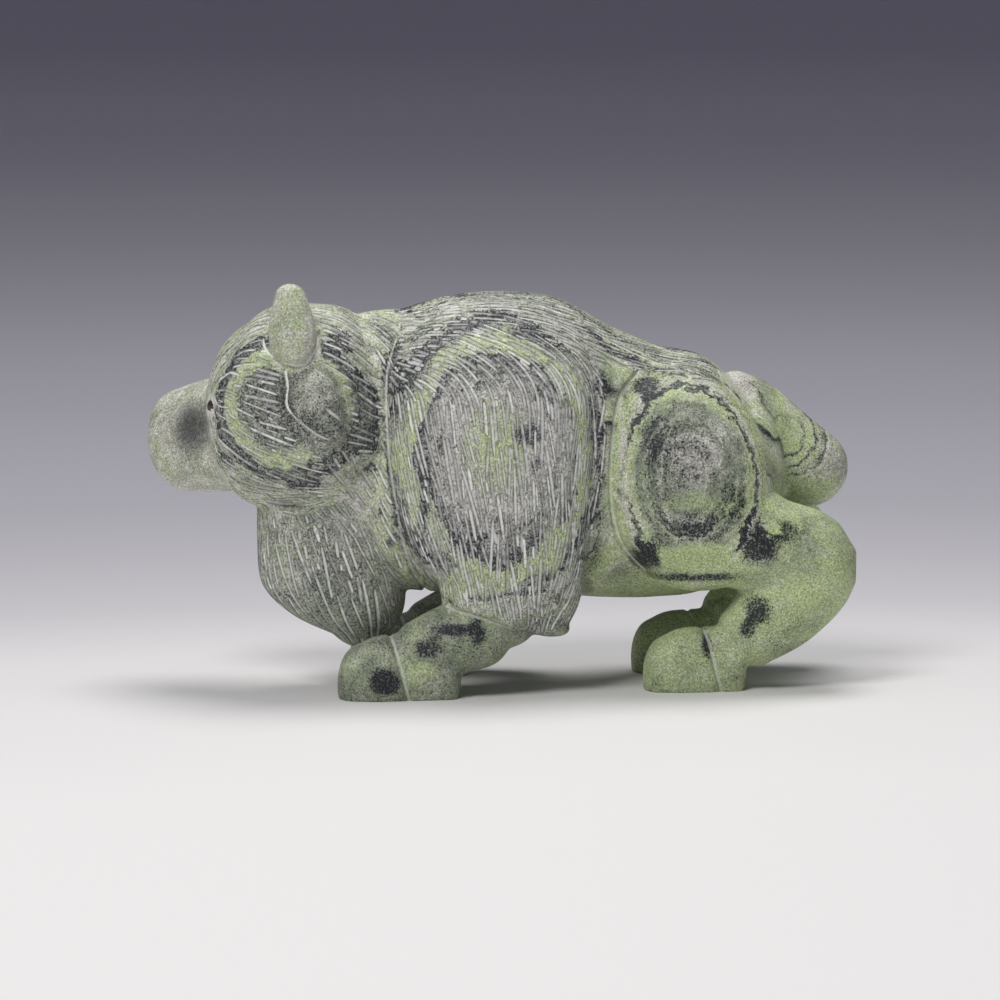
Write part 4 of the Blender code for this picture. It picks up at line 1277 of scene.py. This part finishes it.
class BUFFALO_OT_carve(bpy.types.Operator):
    """Carve the buffalo, with its fur and its incised lines, and finish its stone"""

    bl_idname = "buffalo.carve"
    bl_label = "Carve the buffalo"

    def execute(self, context):
        settings, colours = context.scene.buffalo_carving, context.scene.buffalo_colours
        scale = settings.length / DRAWN_LENGTH
        stone = rough_out(settings.skin_detail / scale)
        points, normals = skin_arrays(stone)
        if not len(points):
            raise RuntimeError("the forms did not merge into a skin")
        shift = placing(points, scale)
        tree = BVHTree.FromObject(stone, context.evaluated_depsgraph_get())
        eyes = []
        for name in EYE_NODES:
            low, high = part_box(name)
            eyes.append((np.array(low) + np.array(high)) / 2 / scale - shift)
        relief = Relief(tree, points, normals, eyes, settings, scale)
        cut = relief.depth(points)
        stone.data.vertices.foreach_set("co", (points - normals * cut[:, None]).ravel())
        stone.data.update()
        stone.data.calc_loop_triangles()
        thin = stone.modifiers.new("thin", "DECIMATE")
        thin.ratio = settings.triangles / len(stone.data.loop_triangles)
        settle(stone)
        cut_soles(stone)
        points, _ = skin_arrays(stone)
        store_fields(stone.data, colour_fields(points, relief))
        stone.data.transform(Matrix.Scale(scale, 4) @ Matrix.Translation(Vector(shift)))
        stone.data.shade_smooth()
        stone.data.materials.append(stone_material(colours, scale, shift))
        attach(stone, "root")
        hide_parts(NODE)
        return {"FINISHED"}


class BUFFALO_OT_set_eyes(bpy.types.Operator):
    """Finish the two inlaid eyes in polished dark stone"""

    bl_idname = "buffalo.set_eyes"
    bl_label = "Set the eyes"

    def execute(self, context):
        material = eye_material(context.scene.buffalo_colours)
        for name in EYE_NODES:
            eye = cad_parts[name]
            if not eye.material_slots:
                raise RuntimeError(name + " has no material slot")
            for slot in eye.material_slots:
                slot.material = material
        return {"FINISHED"}


class BUFFALO_OT_stage(bpy.types.Operator):
    """Lay a pale floor, light it softly and stand the camera at the left side"""

    bl_idname = "buffalo.stage"
    bl_label = "Set the stage"

    def execute(self, context):
        settings = context.scene.buffalo_stage
        add_floor(settings)
        add_lights(settings)
        add_camera(context.scene, settings)
        context.scene.view_settings.view_transform = "Standard"
        return {"FINISHED"}


def add_floor(settings):
    """A wide pale sheet that darkens with its distance and curves up far away.

    Its height is even out to FLAT_REACH, and from there it grows as the square.
    """
    turns = np.linspace(0, 2 * math.pi, 65)[:-1]
    turn, out = np.meshgrid(turns, np.linspace(0.02, 1, 24) ** 2 * FLOOR_REACH, indexing="ij")
    rise = FLOOR_RISE * np.maximum(out - FLAT_REACH, 0.0) ** 2 - FLOOR_DROP
    grid = np.stack((out * np.cos(turn), out * np.sin(turn), rise), -1)
    rings_out = grid.transpose(1, 0, 2)
    mesh = bpy.data.meshes.new("floor")
    faces = closed_grid_faces(rings_out.shape[0], rings_out.shape[1], 0)[:-1]
    mesh.from_pydata(rings_out.reshape(-1, 3), [], [face[::-1] for face in faces])
    floor = bpy.data.objects.new("floor", mesh)
    bpy.context.scene.collection.objects.link(floor)
    material = bpy.data.materials.new("pale_floor")
    n = Nodes(material)
    place = n.add("ShaderNodeTexCoord").outputs["Object"]
    away = n.add("ShaderNodeVectorMath", {"operation": "DISTANCE"}, _0=place, _1=PALE_MIDDLE).outputs["Value"]
    share = n.math("DIVIDE", away, n.math("ADD", away, FLOOR_FADE))
    near, far = np.array(settings.floor), np.array(settings.far_floor)
    stops = [(at / (at + FLOOR_FADE), solid(near * light + far * (1 - light))) for at, light in FLOOR_LIGHT]
    colour = n.bands(share, stops)[0]
    shader = n.add("ShaderNodeBsdfPrincipled", **{"Base Color": colour})
    shader.inputs["Roughness"].default_value = 0.6
    shader.inputs["Specular IOR Level"].default_value = 0.2
    n.add("ShaderNodeOutputMaterial", Surface=shader.outputs[0])
    mesh.materials.append(material)


def add_lights(settings):
    """One soft lamp at the left front, another overhead, and an even glow."""
    world = bpy.data.worlds.new("studio")
    world.use_nodes = True
    glow = world.node_tree.nodes["Background"]
    glow.inputs["Color"].default_value = GLOW_COLOUR
    glow.inputs["Strength"].default_value = GLOW_STRENGTH
    bpy.context.scene.world = world
    for name, place, size, share in LAMPS:
        data = bpy.data.lights.new(name, "AREA")
        data.shape = "DISK"
        data.size = size
        data.energy = settings.lamp_power * share
        data.color = LAMP_COLOUR
        lamp = bpy.data.objects.new(name, data)
        lamp.location = place
        lamp.rotation_mode = "QUATERNION"
        lamp.rotation_quaternion = (Vector(LAMP_AIM) - Vector(place)).to_track_quat("-Z", "Y")
        bpy.context.scene.collection.objects.link(lamp)


def add_camera(scene, settings):
    """A long lens at the photograph's angle, which frames VIEW_WIDTH across."""
    target = Vector(CAMERA_TARGET)
    a, e = settings.azimuth, settings.elevation
    back = Vector((math.sin(a) * math.cos(e), -math.cos(a) * math.cos(e), math.sin(e)))
    data = bpy.data.cameras.new("camera")
    data.sensor_width = 36.0
    data.lens = data.sensor_width * settings.distance / VIEW_WIDTH
    data.clip_start, data.clip_end = 0.01, 100.0
    camera = bpy.data.objects.new("camera", data)
    camera.location = target + back * settings.distance
    camera.rotation_mode = "QUATERNION"
    camera.rotation_quaternion = (-back).to_track_quat("-Z", "Y")
    scene.collection.objects.link(camera)
    scene.camera = camera


class BUFFALO_PT_panel(bpy.types.Panel):
    """Lists the steps and their settings"""

    bl_idname = "BUFFALO_PT_panel"
    bl_label = "Serpentine buffalo"
    bl_space_type = "VIEW_3D"
    bl_region_type = "UI"
    bl_category = "Buffalo"

    def draw(self, context):
        scene = context.scene
        for operator, group in (
            (BUFFALO_OT_carve, scene.buffalo_carving),
            (BUFFALO_OT_set_eyes, scene.buffalo_colours),
            (BUFFALO_OT_stage, scene.buffalo_stage),
        ):
            box = self.layout.box()
            box.operator(operator.bl_idname)
            for name in group.bl_rna.properties.keys():
                if name not in ("rna_type", "name"):
                    box.prop(group, name)


CLASSES = (
    CarvingSettings,
    StoneColours,
    StageSettings,
    BUFFALO_OT_carve,
    BUFFALO_OT_set_eyes,
    BUFFALO_OT_stage,
    BUFFALO_PT_panel,
)


def register():
    for cls in CLASSES:
        bpy.utils.register_class(cls)
    bpy.types.Scene.buffalo_carving = bpy.props.PointerProperty(type=CarvingSettings)
    bpy.types.Scene.buffalo_colours = bpy.props.PointerProperty(type=StoneColours)
    bpy.types.Scene.buffalo_stage = bpy.props.PointerProperty(type=StageSettings)


def unregister():
    del bpy.types.Scene.buffalo_stage
    del bpy.types.Scene.buffalo_colours
    del bpy.types.Scene.buffalo_carving
    for cls in reversed(CLASSES):
        bpy.utils.unregister_class(cls)


def main():
    register()
    bpy.ops.buffalo.carve()
    bpy.ops.buffalo.set_eyes()
    bpy.ops.buffalo.stage()


if __name__ == "__main__":
    main()
